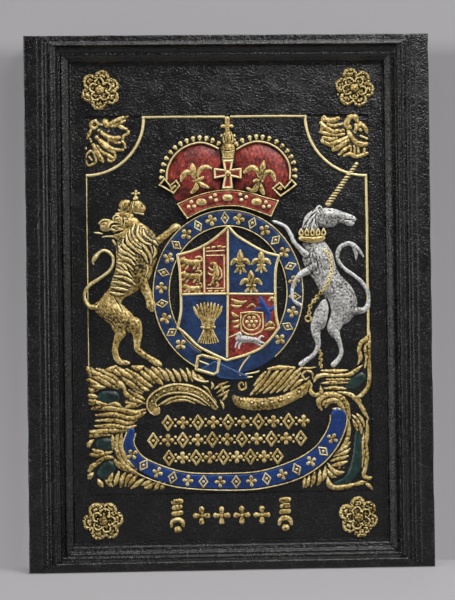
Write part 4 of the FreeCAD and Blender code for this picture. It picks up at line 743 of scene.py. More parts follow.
# the chain rises where it lies over the unicorn's body
under = unicorn["height"]
ix = np.clip(np.searchsorted(unicorn["xs"], chain["xs"]), 0, len(unicorn["xs"]) - 1)
iz = np.clip(np.searchsorted(unicorn["zs"], chain["zs"]), 0, len(unicorn["zs"]) - 1)
carried = np.maximum(under[np.ix_(iz, ix)], 0)
chain["height"] = np.where(chain["height"] > -0.6, chain["height"] * 0.8 + blurred(carried, 4),
                           chain["height"])
castRelief("unicornChain", chain, seats["field"], gilt, lipMm=1.6, shy=0.1)
print("lion and unicorn carved")


# Crown over the arms: two padded red lobes under pearled gilt arches, a jewelled rim
archLines = {
    -1: [(-12, 521), (-22, 526), (-33, 528.5), (-45, 526.5), (-57, 521), (-66, 513), (-72, 504),
         (-75.5, 494), (-76.5, 482)],
    1: [(12, 520), (22, 525.5), (33, 529), (43, 528.8), (53, 526), (63, 520), (70.5, 512), (75.5, 503),
        (77.5, 493), (77, 482)],
}
rimTop = [(-63, 452), (-45, 460), (-25, 466), (0, 469), (25, 465.5), (45, 459.5), (62, 455)]
rimFoot = [(-51, 434.5), (-35, 442.7), (-17, 448), (0, 449.5), (15, 448.5), (32, 443.7), (52.6, 436)]

capLift = {"rise": 6.0, "edge": 22.0}
cap = blankRelief((-80, 448, 82, 532), 0.7)
for side, arch in archLines.items():
    inner = [(side * 9, 466), (side * 9, 505)] + arch + [(side * 62, 456), (side * 30, 464)]
    sheets(cap, [(capLift["rise"], capLift["edge"], curve(inner, 3))], soft=0.4)
# left lobe: cloth gathered in long folds
gathers = []
for k in range(14):
    x = -15 - 4.1 * k
    gathers.append((0.25, strand(1.9, (x + 8, 521 - 0.6 * k), (x, 510 - 1.0 * k), (x - 5, 494 - 1.8 * k))))
# right lobe: quilted with crossing threads
threads = []
for k in range(13):
    x = 5.2 * k
    threads.append((-0.22, [(10 + x, 478, 1), (26 + x, 527, 1)]))
    threads.append((-0.22, [(6 + x, 527, 1), (22 + x, 478, 1)]))
ridges(cap, gathers, over=1.0)
ridges(cap, threads, over=1.0)
weathered(cap, 0.12, 4.0)
castRelief("crownCap", cap, seats["field"], red, ["crown_cap"], shy=0.2)

arches = blankRelief((-90, 474, 92, 545), 0.5)
limbs(arches, [(3.4, [(x, z, 1.55) for x, z in arch]) for arch in archLines.values()])
castRelief("crownArches", arches, seats["field"], gilt, ["crown_arches"])

# long pearls stand off the arches like the teeth of a comb
pearlLook = {"each": 13, "offMm": 4.0, "longMm": 2.8, "half": 3.0}
pearls = blankRelief((-94, 476, 96, 544), 0.5)
beads = []
for side, arch in archLines.items():
    line = curve(arch, 1.0)
    for k in range(pearlLook["each"]):
        x, z = line[int((k + 0.5) / pearlLook["each"] * (len(line) - 1))]
        dx, dz = x - side * 37, z - 490
        far = math.hypot(dx, dz)
        near, out = pearlLook["offMm"], pearlLook["offMm"] + pearlLook["longMm"]
        beads.append((1.1, [(x + near * dx / far, z + near * dz / far, 0.6 * pearlLook["half"]),
                            (x + out * dx / far, z + out * dz / far, pearlLook["half"])]))
limbs(pearls, beads, soft=0.3)
castRelief("crownPearls", pearls, seats["field"], gilt, ["crown_pearls"], shy=0.7)

pillar = blankRelief((-16, 498, 18, 564), 0.5)
limbs(pillar, [
    (0.72, [(0, 505, 7.4), (0.4, 513, 7.8), (0.6, 520, 9), (0.8, 522, 8)]),
    (0.9, [(0.6, 523, 4.4), (0.8, 528, 4)]),
    (0.75, [(0.8, 528, 6.5), (0.8, 533, 8), (0.6, 539, 5.5)]),
    (1.0, [(0.5, 540, 3.2), (0.2, 548, 3.4), (0.2, 554, 3.4), (0.2, 558.4, 3.6)]),
    (1.0, [(-6.2, 549, 2.6), (5.4, 549, 2.6)]), (0.9, [(-7, 537, 2.2), (-3, 535, 2.6)]),
    (0.9, [(8.4, 537, 2.2), (4, 535, 2.6)]), (0.9, [(-5, 531, 2), (9, 532, 2)]),
], soft=0.5)
ridges(pillar,
       [(1.8, [(0.2, 514.5, 5), (1.2, 514.6, 5)]), (-1.3, strand(0.9, (-8, 519.5), (0.5, 518), (9, 519.5))),
        (-1.3, strand(0.9, (-7, 508.5), (0.5, 507.5), (8, 508.5))),
        (-1.5, strand(0.9, (-3, 541), (-3.5, 533), (-2, 527))),
        (-1.5, strand(0.9, (4, 541), (5, 533), (3.4, 527))),
        (-1.6, strand(0.8, (-4, 545.6), (4.4, 545.6)))])
castRelief("crownPillar", pillar, seats["field"], gilt, ["crown_pillar"])

crossShape = [(-5.2, 505), (5.2, 505), (3.2, 493.6), (15.6, 495), (15.6, 484), (3.4, 487), (4.4, 472),
              (-6.2, 472), (-3, 487), (-16.4, 484.4), (-16.4, 495), (-3.4, 493.4)]
cross = blankRelief((-20, 468, 20, 509), 0.5)
sheets(cross, [(3.0, 1.6, crossShape)])
stepUp(cross, 3.2)
castRelief("crownCross", cross, seats["field"], red, ["crown_cross"], shy=2.4)
crossEdge = blankRelief((-21, 467, 21, 510), 0.45)
limbs(crossEdge, straights(1.3, 1.25, crossShape + crossShape[:1])
      + [(0.9, [(-0.3, 489.8, 3.6), (0.3, 489.8, 3.6)])])
stepUp(crossEdge, 6.0, over=-1.5)
castRelief("crownCrossEdge", crossEdge, seats["field"], gilt, shy=5.6)

lilies = blankRelief((-64, 460, 64, 510), 0.5)
limbs(lilies, [
    (0.9, [(-45, 504, 1.6), (-43.5, 496, 4.6), (-43, 489, 4.1), (-41, 484, 2.7)]),
    (0.9, [(-42, 486, 2.7), (-45, 490.5, 3.8), (-51, 491.5, 4.1), (-56, 487, 3.8), (-58, 481, 2.2)]),
    (0.9, [(-38, 481, 2.4), (-37.5, 489, 3.2), (-33, 496, 3.8), (-27, 498, 3.5), (-21, 496, 2.2)]),
    (1.0, [(-43, 480.5, 2.2), (-37, 482, 3.0), (-31, 485, 2.2)]),
    (0.9, [(-37, 479, 2.7), (-32, 475.5, 3.5), (-25, 472.5, 2.4)]),
    (0.9, [(-39, 478, 2.7), (-40, 472, 3.8), (-45, 466.5, 2.7)]),
    (0.9, [(45, 506, 1.6), (43.5, 497, 4.1), (41, 489, 4.6), (40, 481, 3.2)]),
    (0.9, [(39, 484, 2.7), (37, 491.5, 3.8), (31, 496.5, 4.1), (25, 494.5, 3.5), (20, 490.5, 2.2)]),
    (0.9, [(43, 483, 2.7), (46, 489, 3.8), (52, 490.5, 4.1), (56.5, 486, 3.5), (58, 480, 2.2)]),
    (1.0, [(33, 480, 2.7), (38, 480.6, 3.5), (42, 480, 2.7)]),
    (0.9, [(38, 478, 3.5), (36, 472, 4.3), (30, 468, 3.2), (24, 471, 2.2)]),
    (0.9, [(39, 476, 3.2), (41, 470, 3.8), (44, 464, 2.4)]),
], soft=0.4)
stepUp(lilies, 4.3, over=-1.2)
castRelief("crownLilies", lilies, seats["field"], gilt, ["crown_lilies"], shy=5.4)

endTies = blankRelief((-90, 458, 90, 490), 0.5)
ties = []
for line in ([(-85, 476), (-79, 483.5), (-72, 475), (-64.5, 481), (-60.5, 475), (-68, 466)],
             [(-85, 476), (-76, 471), (-68, 466)], [(-72, 475), (-70, 470)],
             [(56, 470.5), (64, 477.5), (70.5, 470.5), (79, 480.5), (84.5, 475), (74, 467), (65, 461)],
             [(56, 470.5), (61, 465), (65, 461)], [(62, 470), (66, 469)]):
    ties += straights(1.3, 1.8, line)
ties += [(0.8, [(-69, 472, 3), (-66, 474, 3)]), (0.8, [(64, 471, 3), (66, 472, 3)])]
limbs(endTies, ties)
stepUp(endTies, 4.0)
castRelief("crownEndTies", endTies, seats["field"], gilt, ["crown_end_crosses"], shy=5.7)

rim = blankRelief((-68, 430, 68, 474), 0.6)
sheets(rim, [(5.2, 2.0, curve(rimTop) + curve(rimFoot[::-1]))])
weathered(rim, 0.15, 3.0)
castRelief("crownRim", rim, seats["field"], red, ["crown_rim"], shy=0.4)
rimEdges = blankRelief((-70, 428, 70, 476), 0.5)
limbs(rimEdges, [(1.5, [(x, z, 1.3) for x, z in rimTop]), (1.5, [(x, z, 1.3) for x, z in rimFoot]),
                 (1.3, [(-63, 452, 1.6), (-57, 443, 1.6), (-51, 434.5, 1.6)]),
                 (1.3, [(62, 455, 1.6), (57.4, 446, 1.6), (52.6, 436, 1.6)])])
stepUp(rimEdges, 4.4)
castRelief("crownRimEdges", rimEdges, seats["field"], gilt, shy=5.9)
jewels = blankRelief((-62, 440, 62, 470), 0.5)
stones = [(0.75, [(x - 2.2, z, 4.3), (x + 2.2, z, 4.3)])
          for x, z in ((-33.5, 454.3), (-0.8, 459.4), (35, 454))]
for x, z in ((-22, 459.6), (-16.5, 463), (-15.2, 456.6), (15, 463.4), (16.2, 456.6), (22.4, 460),
             (-46, 454.8), (-49.4, 448.6), (-42.4, 449), (46.6, 453.6), (44, 447.6), (50.6, 448.2)):
    stones.append(dot(1.0, x, z, 2.5))
limbs(jewels, stones)
stepUp(jewels, 5.2)
castRelief("rimJewels", jewels, seats["field"], gilt, ["rim_jewels"], shy=5.4)
print("crown carved")


# Shield, quartered, inside the belt
shieldLine = curve([(0, 423.5), (-9, 416), (-24, 404.5), (-44, 394.5), (-64, 389)], 2) + curve(
    [(-64, 389), (-61.5, 372), (-60.5, 345), (-60.5, 320), (-64.5, 299)], 3) + curve(
    [(-64.5, 299), (-54, 290), (-40, 276), (-24, 267), (-4.5, 257.5)], 2) + curve(
    [(-4.5, 257.5), (18, 263.5), (38, 272), (51, 284), (61, 297)], 2) + curve(
    [(61, 297), (57.5, 315), (57, 345), (58, 370), (62, 386.5)], 3) + curve(
    [(62, 386.5), (44, 392), (26, 402), (10, 412.5), (0, 423.5)], 2)
middle = {"x": -2.0, "z": 340.0}
quarterNodes = {"quarter_beasts": (-1, 1, red), "quarter_lilies": (1, 1, blue),
                "quarter_sheaf": (-1, -1, blue), "quarter_hound": (1, -1, red)}
for name, (right, up, paint) in quarterNodes.items():
    corner = blankRelief((-66, 255, 64, 425), 0.8)
    sheets(corner, [(4.0, 1.2, shieldLine)])
    x, z = np.meshgrid(corner["xs"], corner["zs"])
    outside = np.minimum((x - middle["x"]) * right, (z - middle["z"]) * up)
    corner["height"] = np.where(outside > -1, corner["height"], bare)
    weathered(corner, 0.12, 3.5, seed=len(name))
    castRelief(camel(name), corner, seats["field"], paint, [name], shy=0.4)

shieldRim = blankRelief((-70, 250, 68, 430), 0.5)
rimLines = [(1.0, [(x, z, 1.7) for x, z in shieldLine[::2]] + [(*shieldLine[0], 1.7)]),
            (1.0, [(-1, 420, 1.5), (-1.5, 380, 1.5), (-2, 340, 1.5), (-3, 300, 1.5), (-4, 262, 1.5)]),
            (1.0, [(-60, 340, 1.5), (-20, 340.4, 1.5), (20, 339.6, 1.5), (57, 339, 1.5)]),
            (1.0, [(-31, 400, 1.2), (-31, 370, 1.2), (-31, 341, 1.2)])]
limbs(shieldRim, rimLines)
stepUp(shieldRim, 3.9, over=-1.2)
castRelief("shieldRim", shieldRim, seats["field"], gilt, ["shield_rim"], shy=3.9)


def walkingBeast(x, z, s):
    # a small beast walking to the left, s mm long; its strokes are set out for 26
    u = s / 26
    shape = [(0.7, [(-7, 2, 3.4), (0, 1.5, 3.2), (7, 1.5, 3.6)]),
             (0.8, [(-8, 3, 3.2), (-12, 5, 2.8), (-14.5, 4, 1.6)]), (0.9, [(-10, 8, 1.2), (-11, 6, 1.6)]),
             (0.9, [(-7, 1, 1.9), (-11, -2.5, 1.5), (-13, -3, 1.2)]),
             (0.9, [(-5, 0, 1.8), (-6, -4, 1.4), (-8, -6.5, 1.3)]),
             (0.9, [(6, 0, 2.2), (4, -4, 1.5), (2, -6.5, 1.3)]),
             (0.9, [(8, 0, 2.2), (9, -4, 1.5), (7.5, -6.5, 1.3)]),
             (0.9, [(9, 3, 1.3), (12.5, 4, 1.1), (12, 8, 1.1), (8, 9, 1.3), (5, 8, 1)])]
    return [(lift, [(x + px * u, z + pz * u, 1.15 * half * u) for px, pz, half in points])
            for lift, points in shape]


def lilyFlower(x, z, wide, high):
    # a three-petalled lily on a band and foot; its strokes are set out for 24 by 28
    a, b = wide / 24, high / 28
    shape = [(0.8, [(0, 14, 0.8), (0, 7, 3), (0, 1, 2.2), (0, -3, 1.6)]),
             (0.8, [(-1, -2, 1.4), (-4, 2, 2), (-8, 2, 2.2), (-11.5, -2, 1.3)]),
             (0.8, [(1, -2, 1.4), (4, 2, 2), (8, 2, 2.2), (11.5, -2, 1.3)]),
             (1.0, [(-4, -4, 1.4), (4, -4, 1.4)]), (0.8, [(0, -5, 1.8), (0, -13, 0.9)]),
             (0.8, [(-1, -5, 1.3), (-4, -9, 1.6), (-6.5, -11, 1)]),
             (0.8, [(1, -5, 1.3), (4, -9, 1.6), (6.5, -11, 1)])]
    return [(lift, [(x + px * a, z + pz * b, 1.35 * half * (a + b) / 2) for px, pz, half in points])
            for lift, points in shape]


def charges(name, strokes, paint, cadNames=(), base=3.8):
    xs = [x for lift, points in strokes for x, z, half in points]
    zs = [z for lift, points in strokes for x, z, half in points]
    relief = blankRelief((min(xs) - 6, min(zs) - 6, max(xs) + 6, max(zs) + 6), 0.45)
    limbs(relief, strokes, soft=0.3)
    stepUp(relief, base, over=-1.2)
    castRelief(name, relief, seats["field"], paint, cadNames, lipMm=1.6, shy=base + 0.1)


beasts = walkingBeast(-46, 378, 25) + walkingBeast(-46, 361, 24) + walkingBeast(-45, 346, 22)
# an upright beast in a narrow border, with buds on it
beasts += [(0.8, [(-20, 354, 2.4), (-17, 362, 3.6), (-16, 370, 3.4), (-18, 377, 2.6), (-22, 378, 1.6)]),
           (0.9, [(-16, 368, 1.8), (-22, 370, 1.4), (-25, 373, 1)]),
           (0.9, [(-17, 363, 1.8), (-23, 364, 1.3), (-26, 366, 1)]),
           (0.9, [(-17, 356, 2), (-14, 351, 1.4), (-16, 349.5, 1)]),
           (0.9, [(-20, 355, 1.8), (-24, 351, 1.3), (-26, 351.5, 1)]),
           (0.9, [(-13, 358, 1.2), (-9.5, 362, 1.1), (-10, 369, 1.1), (-12.5, 373, 1.2)])]
for line in ([(-28, 347), (-6, 347)], [(-28, 388), (-6, 388)], [(-6, 347), (-6, 388)],
             [(-28, 393), (-6, 394)]):
    beasts.append((1.1, [(x, z, 0.9) for x, z in line]))
for x, z in ((-26, 397), (-19, 398), (-12, 399), (-6.5, 398), (-24, 343.6), (-16, 343.6), (-8, 343.6)):
    beasts.append((0.9, [(x - 1.4, z, 1.5), (x + 1.4, z + 0.5, 1.3)]))
charges("shieldBeasts", beasts, gilt, ["shield_beasts"])
charges("shieldLilies", lilyFlower(14, 379, 23, 30) + lilyFlower(40, 379, 23, 28)
        + lilyFlower(27, 354, 26, 28), gilt, ["shield_lilies"])

# a bound sheaf of wheat
sheaf = []
for k in range(9):
    # a stalk and its ear, leaning out from the middle
    lean = (k - 4) / 4
    drop = lean * lean
    sheaf.append((0.9, [(-27 + 12 * lean, 279 + 2 * drop, 1.3), (-27 + 5 * lean, 298, 1.3),
                        (-27 + 11 * lean, 314, 1.3)]))
    sheaf.append((0.8, [(-27 + 11 * lean, 313 - 2 * drop, 1.5), (-27 + 14.5 * lean, 321 - 3 * drop, 2.4),
                        (-27 + 17.5 * lean, 329.5 - 5 * drop, 1.0)]))
sheaf += [(1.0, [(-34.5, 299, 1.9), (-27, 297.4, 2.2), (-19.5, 299, 1.9)]),
          (1.0, [(-34, 302.6, 1.2), (-27, 301.4, 1.3), (-20, 302.6, 1.2)])]
charges("shieldSheaf", sheaf, gilt, ["shield_sheaf"])

# a small shield with a flower, with leaves and shoots about it
turns = np.linspace(0, 2 * math.pi, 17)
small = [(0.8, [(27 + 11 * math.cos(a), 305 + 10.5 * math.sin(a), 1.2) for a in turns])]
for a in np.linspace(0, 2 * math.pi, 7)[:-1]:
    # petals
    small.append((0.9, [(27 + far * math.cos(a), 305 + far * math.sin(a), 2.2) for far in (5.2, 6)]))
small += [dot(1.0, 27, 305, 2.6), (1.0, [(14, 316, 1.1), (27, 317, 1.2), (41, 316, 1.1)]),
          (1.0, [(14, 316, 1.1), (14, 297, 1.1), (20, 290.5, 1.1), (27, 289, 1.1), (34, 290.5, 1.1),
                 (41, 297, 1.1), (41, 316, 1.1)]),
          (0.9, [(-1, 286, 0.9), (8, 290, 1), (15, 294.5, 0.9)]),
          (0.8, [(3, 333, 1.2), (9, 330, 2.6), (16, 329, 2), (21, 331, 1)]),
          (0.8, [(2, 326, 1), (8, 324, 2.2), (14, 325, 1.2)]),
          (0.8, [(3, 317, 1), (6, 313, 2.4), (10, 312, 1.2)]),
          (0.8, [(3, 306, 1), (7, 305, 2.2), (11, 307, 1)]),
          (0.8, [(5, 299, 1), (9, 299, 2), (12, 302, 1)]),
          (0.8, [(45, 300, 1.4), (50, 303, 3), (55, 300, 1.6)]),
          (0.8, [(44, 295, 1.2), (50, 296, 2.6), (55, 297, 1.2)]),
          (0.8, [(49, 331, 1.2), (53, 334, 2.2), (55, 330, 1)]),
          (0.8, [(22, 323, 1), (28, 326, 2), (32, 324, 1)])]
charges("smallShield", small, gilt, ["small_shield"])
charges("blueLeaf",
        [(0.7, [(38, 335, 2), (40, 329, 4), (44, 322, 4.4), (48, 314, 3.6), (47, 305, 2.2), (46, 299, 1)]),
         (0.8, [(44, 322, 2.4), (37, 321, 2.6), (31, 320, 1.4)]),
         (0.8, [(46, 318, 2.4), (53, 321, 2.4), (54, 325, 1.2)])], ribbonBlue)
hound = [(0.7, [(10, 284, 3.4), (18, 283.5, 4.4), (27, 282.5, 3.8), (34, 281.5, 3.6)]),
         (0.8, [(11, 286, 3), (12.5, 290, 2.4), (8.5, 289, 1.3)]),
         (0.9, [(11, 281, 2.2), (8, 277.5, 1.5), (6.5, 273.5, 1)]),
         (0.9, [(14, 280.5, 2), (11.5, 276, 1.4), (11, 272, 1)]),
         (0.9, [(32, 280, 2.4), (35.5, 276.5, 1.6), (40, 274.5, 1)]),
         (0.9, [(34, 281, 2.4), (39, 279, 1.6), (43, 278, 1)]),
         (0.9, [(35, 283, 1.8), (39, 287, 1.3), (42, 286, 1)])]
charges("runningHound", hound, white, ["running_hound"])
print("shield carved")

# Belt round the shield: a flat blue strap between gilt lines, with generic studs
beltOval = {"x": -1.5, "z": 342.0, "across": 83.5, "up": 92.8, "half": 10.2}


def beltPoint(turn, out=0.0):
    a = math.radians(turn)
    return (beltOval["x"] + (beltOval["across"] + out) * math.cos(a),
            beltOval["z"] + (beltOval["up"] + out) * math.sin(a))


strap = blankRelief((-100, 232, 97, 450), 0.7)
bands(strap, [(3.0, [(*beltPoint(a), beltOval["half"]) for a in range(0, 361, 6)])])
weathered(strap, 0.15, 4.0)
castRelief("beltStrap", strap, seats["field"], blue, ["belt_strap"], shy=0.2)
beltLines = blankRelief((-100, 232, 97, 450), 0.5)
limbs(beltLines, [(1.2, [(*beltPoint(a, out), 1.05) for a in range(a0, a1, 4)])
                  for out, a0, a1 in ((9.6, -52, 247), (-10.2, -50, 246))])
stepUp(beltLines, 2.2)
castRelief("beltEdges", beltLines, seats["field"], gilt, ["belt_edges"], shy=2.9)
beltTips = ((4.6, 0), (-4.6, 0), (0, 4.6), (0, -4.6))
studs = []
for k, turn in enumerate(range(-40, 236, 12)):
    # lozenges and four-leaved flowers by turns, square to the strap
    cx, cz = beltPoint(turn, -0.4)
    a = math.radians(turn)
    ax, az = math.cos(a), math.sin(a)
    if k % 2:
        studs += lozenge(cx, cz, 7, 4.6, 1.0, 2.2, ax, az)
    else:
        studs += leaves(0.8, cx, cz, beltTips, 2.8, 1.8, 0.4, ax, az)
charges("beltStuds", studs, gilt, base=2.6)

buckleLine = [(-42.5, 247), (-40, 262.5), (-34, 264), (-13.5, 258.5), (-16, 243), (-21, 240.5),
              (-42.5, 247)]
buckle = blankRelief((-52, 228, 36, 272), 0.5)
limbs(buckle, straights(1.15, 2.0, buckleLine)
      + [(1.0, [(-46, 243, 1.3), (-45, 236, 1.5), (-36, 232, 1.4), (-28, 231.5, 1.1)]),
         (1.0, [(-38, 257, 1.2), (-27, 252.5, 1.2)]),
         (1.0, [(-13, 252, 1.2), (4, 243, 1.3), (18, 236.5, 1.3), (27, 236.5, 1)]),
         (1.0, [(24, 263, 1.1), (16, 253, 1.2), (11, 244, 1)]),
         (1.0, [(19, 240, 1), (33, 242.5, 1.2), (46, 248.5, 1.1)])], soft=0.3)
stepUp(buckle, 2.8)
castRelief("beltBuckle", buckle, seats["field"], gilt, ["belt_buckle"], shy=2.8)
tail = blankRelief((-40, 226, 34, 262), 0.6)
sheets(tail, [(4.2, 1.6, [(-38, 247), (-20, 258), (-8, 253), (8, 245), (24, 238), (20, 233.5), (4, 232.5),
                          (-14, 235), (-22, 241)])])
weathered(tail, 0.15, 4.0)
castRelief("beltTail", tail, seats["field"], blue, ["belt_tail"], shy=0.3)
print("belt carved")


# Leaf work on the left of the tablet: a fringe of blades on top, ribs in the middle, a fan at the foot
def blades(lift, half, lines, ends=0.4):
    return [(lift, strand(1.08 * half, *line, ends=ends)) for line in lines]


leafWork = blankRelief((-186, 92, -28, 258), 0.55)
limbs(leafWork, [
    # low bed the blades grow from
    (0.04, [(-168, 237, 11), (-150, 234, 14), (-130, 233, 15), (-112, 234, 14), (-95, 237, 12),
            (-75, 239, 8), (-52, 239, 6)]),
    (0.05, [(-120, 225, 10), (-125, 212, 12), (-127, 200, 10)]),
    (0.04, [(-162, 190, 10), (-140, 187, 12), (-122, 186, 8)]),
    (0.05, [(-172, 160, 6), (-160, 169, 5), (-145, 166, 7), (-143, 150, 6), (-138, 138, 7),
            (-125, 124, 6)]),
    (0.05, [(-174, 122, 5), (-168, 132, 6), (-150, 138, 6)]),
    (0.05, [(-150, 112, 5), (-132, 113, 8), (-112, 110, 6)]),
] + blades(1.0, 3.8, [
    [(-178, 254), (-176, 247), (-171, 238)], [(-173, 250), (-169, 244), (-162, 240)],
    [(-181, 238), (-172, 233), (-162, 229)], [(-172, 247), (-158, 240), (-146, 233), (-137, 225)],
    [(-166, 249), (-153, 243), (-141, 236)], [(-158, 246), (-150, 247), (-142, 252)],
    [(-176, 241), (-163, 237), (-151, 230), (-141, 224)], [(-178, 231), (-166, 227), (-156, 226)],
    [(-146, 249), (-140, 243), (-133, 241)],
    [(-141, 251), (-133, 244), (-122, 237), (-113, 229), (-106, 223)],
    [(-129, 248), (-118, 240), (-108, 232), (-98, 226)], [(-122, 251), (-114, 249), (-108, 251)],
    [(-136, 240), (-126, 232), (-118, 226), (-109, 220)], [(-143, 235), (-136, 229), (-130, 222)],
    [(-113, 247), (-104, 239), (-95, 231)], [(-106, 249), (-98, 242), (-90, 234), (-85, 229)],
    [(-97, 250), (-90, 243), (-84, 236)], [(-89, 249), (-81, 241), (-77, 234)],
]) + blades(1.0, 3.1, [
    [(-80, 248), (-73, 239), (-70, 232)], [(-71, 247), (-65, 239), (-62, 232)],
    [(-62, 247), (-57, 239), (-54, 232)], [(-54, 248), (-50, 240), (-47, 232)],
    [(-47, 245), (-43, 237), (-38, 231)], [(-41, 240), (-36, 234), (-31, 230)],
    [(-150, 243), (-143, 238), (-137, 231)], [(-124, 244), (-114, 237), (-104, 229)],
    [(-118, 229), (-108, 224), (-101, 221)],
]) + blades(0.95, 3.5, [
    [(-179, 224), (-172, 223), (-164, 223)], [(-179, 217), (-172, 215), (-165, 214)],
    [(-180, 211), (-172, 209), (-164, 208)], [(-179, 206), (-165, 206), (-152, 204)],
    [(-173, 199), (-166, 201), (-158, 203)], [(-132, 223), (-128, 216), (-118, 212)],
    [(-126, 222), (-118, 217), (-107, 210)], [(-128, 213), (-118, 209), (-107, 205)],
    [(-130, 207), (-120, 204), (-112, 204)], [(-131, 200), (-124, 203), (-116, 202)],
    [(-122, 226), (-117, 221), (-110, 217)],
]) + blades(1.0, 3.5, [
    [(-169, 198), (-150, 200), (-133, 197), (-118, 194), (-106, 198)],
    [(-168, 191.5), (-145, 192), (-126, 187), (-115, 190), (-106, 194)],
    [(-168, 184.5), (-145, 185), (-128, 181), (-117, 185)],
    [(-169, 178), (-146, 178), (-130, 175.5), (-118, 178)], [(-152, 204), (-143, 205), (-136, 201)],
]) + blades(0.95, 3.6, [
    [(-180, 171), (-166, 170.5), (-150, 172), (-136, 172.5), (-122, 175)],
    [(-178, 165), (-165, 167.5), (-150, 167)], [(-180, 148), (-177, 156), (-171, 161)],
    [(-179, 143), (-163, 142.5), (-148, 146)], [(-172, 149), (-166, 146), (-158, 146)],
    [(-140, 171), (-142, 158), (-141, 146), (-134, 132), (-123, 122), (-113, 116)],
    [(-136, 168), (-137, 157), (-136, 147), (-129, 134), (-118, 124)],
    [(-180, 116), (-174, 127), (-162, 134)], [(-180, 109), (-176, 116), (-172, 120)],
    [(-146, 137), (-141, 131), (-136, 124)], [(-167, 134), (-156, 139), (-146, 138)],
    [(-140, 138), (-134, 127), (-126, 121)], [(-148, 167), (-146, 158), (-147, 149)],
]) + blades(1.0, 3.4, [
    [(-166, 112), (-163, 107), (-160, 103)], [(-157, 111), (-152, 107), (-148, 103)],
    [(-148, 119), (-151, 111), (-155, 106)], [(-140, 121), (-143, 111), (-146, 104)],
    [(-132, 120), (-136, 111), (-138, 102)], [(-122, 121), (-129, 112), (-132, 103)],
    [(-117, 117), (-124, 109), (-128, 103)], [(-108, 113), (-117, 106), (-125, 100)],
    [(-98, 111), (-106, 106), (-112, 104)], [(-95, 107), (-103, 102), (-108, 101)],
    [(-88, 111), (-92, 103), (-96, 98)], [(-82, 108), (-86, 102), (-89, 99)],
]), soft=0.35)
weathered(leafWork, 0.3, 2.6, seed=5)
castRelief("leafWorkLeft", leafWork, seats["field"], gilt, ["leaf_work_left"], lipMm=2.0, shy=0.9)

# Scrolls on the right of the tablet
scrollWork = blankRelief((88, 90, 180, 294), 0.5)
limbs(scrollWork, [
    (0.05, [(112, 225, 7), (130, 225, 8), (148, 225, 6)]), (0.05, [(160, 182, 5), (163, 168, 6)]),
    (0.05, [(130, 140, 7), (136, 128, 10), (128, 120, 8)]),
    (0.05, [(70, 102, 4), (100, 106, 8), (112, 108, 7)]), (0.05, [(168, 262, 5), (170, 242, 5)]),
] + blades(1.0, 2.8, [
    [(104, 228), (108, 235), (118, 237.5), (134, 236.5), (148, 237.5), (156, 242), (165, 249)],
    [(159, 250), (163, 258), (161, 268), (164, 277), (170, 282), (174, 289)],
    [(168, 246), (171, 258), (169, 270), (172, 279)],
    [(175, 292), (174, 280), (173, 262), (174, 236), (171, 221), (162, 211), (152, 207)],
    [(166, 276), (172, 281), (175, 285)], [(112, 227), (130, 228), (147, 227.5)],
    [(117, 221), (130, 221), (144, 220)], [(120, 232), (136, 231.5), (150, 232)],
    [(113, 243), (130, 242), (147, 243)], [(101, 224), (100, 217), (106, 212.5), (113, 216), (112, 224)],
]) + blades(0.9, 3.9, [
    [(113, 194), (110, 204), (116, 211), (128, 213), (139, 207.5), (145, 197), (148, 183)],
    [(118, 197), (123, 205), (133, 205), (140, 197), (144, 187)],
]) + blades(0.95, 2.9, [
    [(127, 195), (136, 194), (141, 187)], [(134, 216), (150, 212), (160, 202), (166, 192), (172, 181)],
    [(110, 199), (116, 202), (118, 207)], [(152, 187), (158, 180), (162, 170), (162, 160)],
    [(157, 189), (163, 181), (167, 170)], [(152, 181), (156, 174), (158, 166)],
    [(170, 183), (170, 166), (168, 150), (169, 136), (167, 122), (165, 112), (170, 108), (176, 109)],
    [(166, 168), (165, 152), (165, 138), (163, 122)], [(176, 93), (171, 99), (164, 104)],
    [(150, 99), (160, 102), (170, 104)], [(155, 210), (160, 206), (163, 199)],
    [(146, 184), (147, 170), (145, 158), (139, 146), (133, 138)],
]) + blades(1.0, 3.4, [
    [(131, 140), (140, 146), (148, 153)], [(128, 136), (140, 140), (148, 145)],
    [(124, 130), (137, 134), (146, 136)], [(125, 124), (136, 127), (144, 129)],
    [(120, 127), (127, 118), (133, 115), (140, 116)], [(118, 121), (124, 113), (130, 110)],
    [(117, 124), (116, 113), (113, 106)], [(110, 119), (110, 108), (107, 100)],
    [(103, 117), (102, 107), (99, 99)], [(97, 112), (95, 104), (92, 98)],
    [(120, 110), (121, 102), (128, 97), (142, 98), (157, 102)], [(86, 108), (85, 101), (82, 95.5)],
    [(76, 106), (74, 100), (71, 95.5)], [(66, 104), (64, 99), (61, 95.5)], [(91, 110), (90, 103), (88, 97)],
]), soft=0.35)
weathered(scrollWork, 0.3, 2.6, seed=6)
castRelief("scrollWorkRight", scrollWork, seats["field"], gilt, ["scroll_work_right"], lipMm=2.0, shy=0.9)

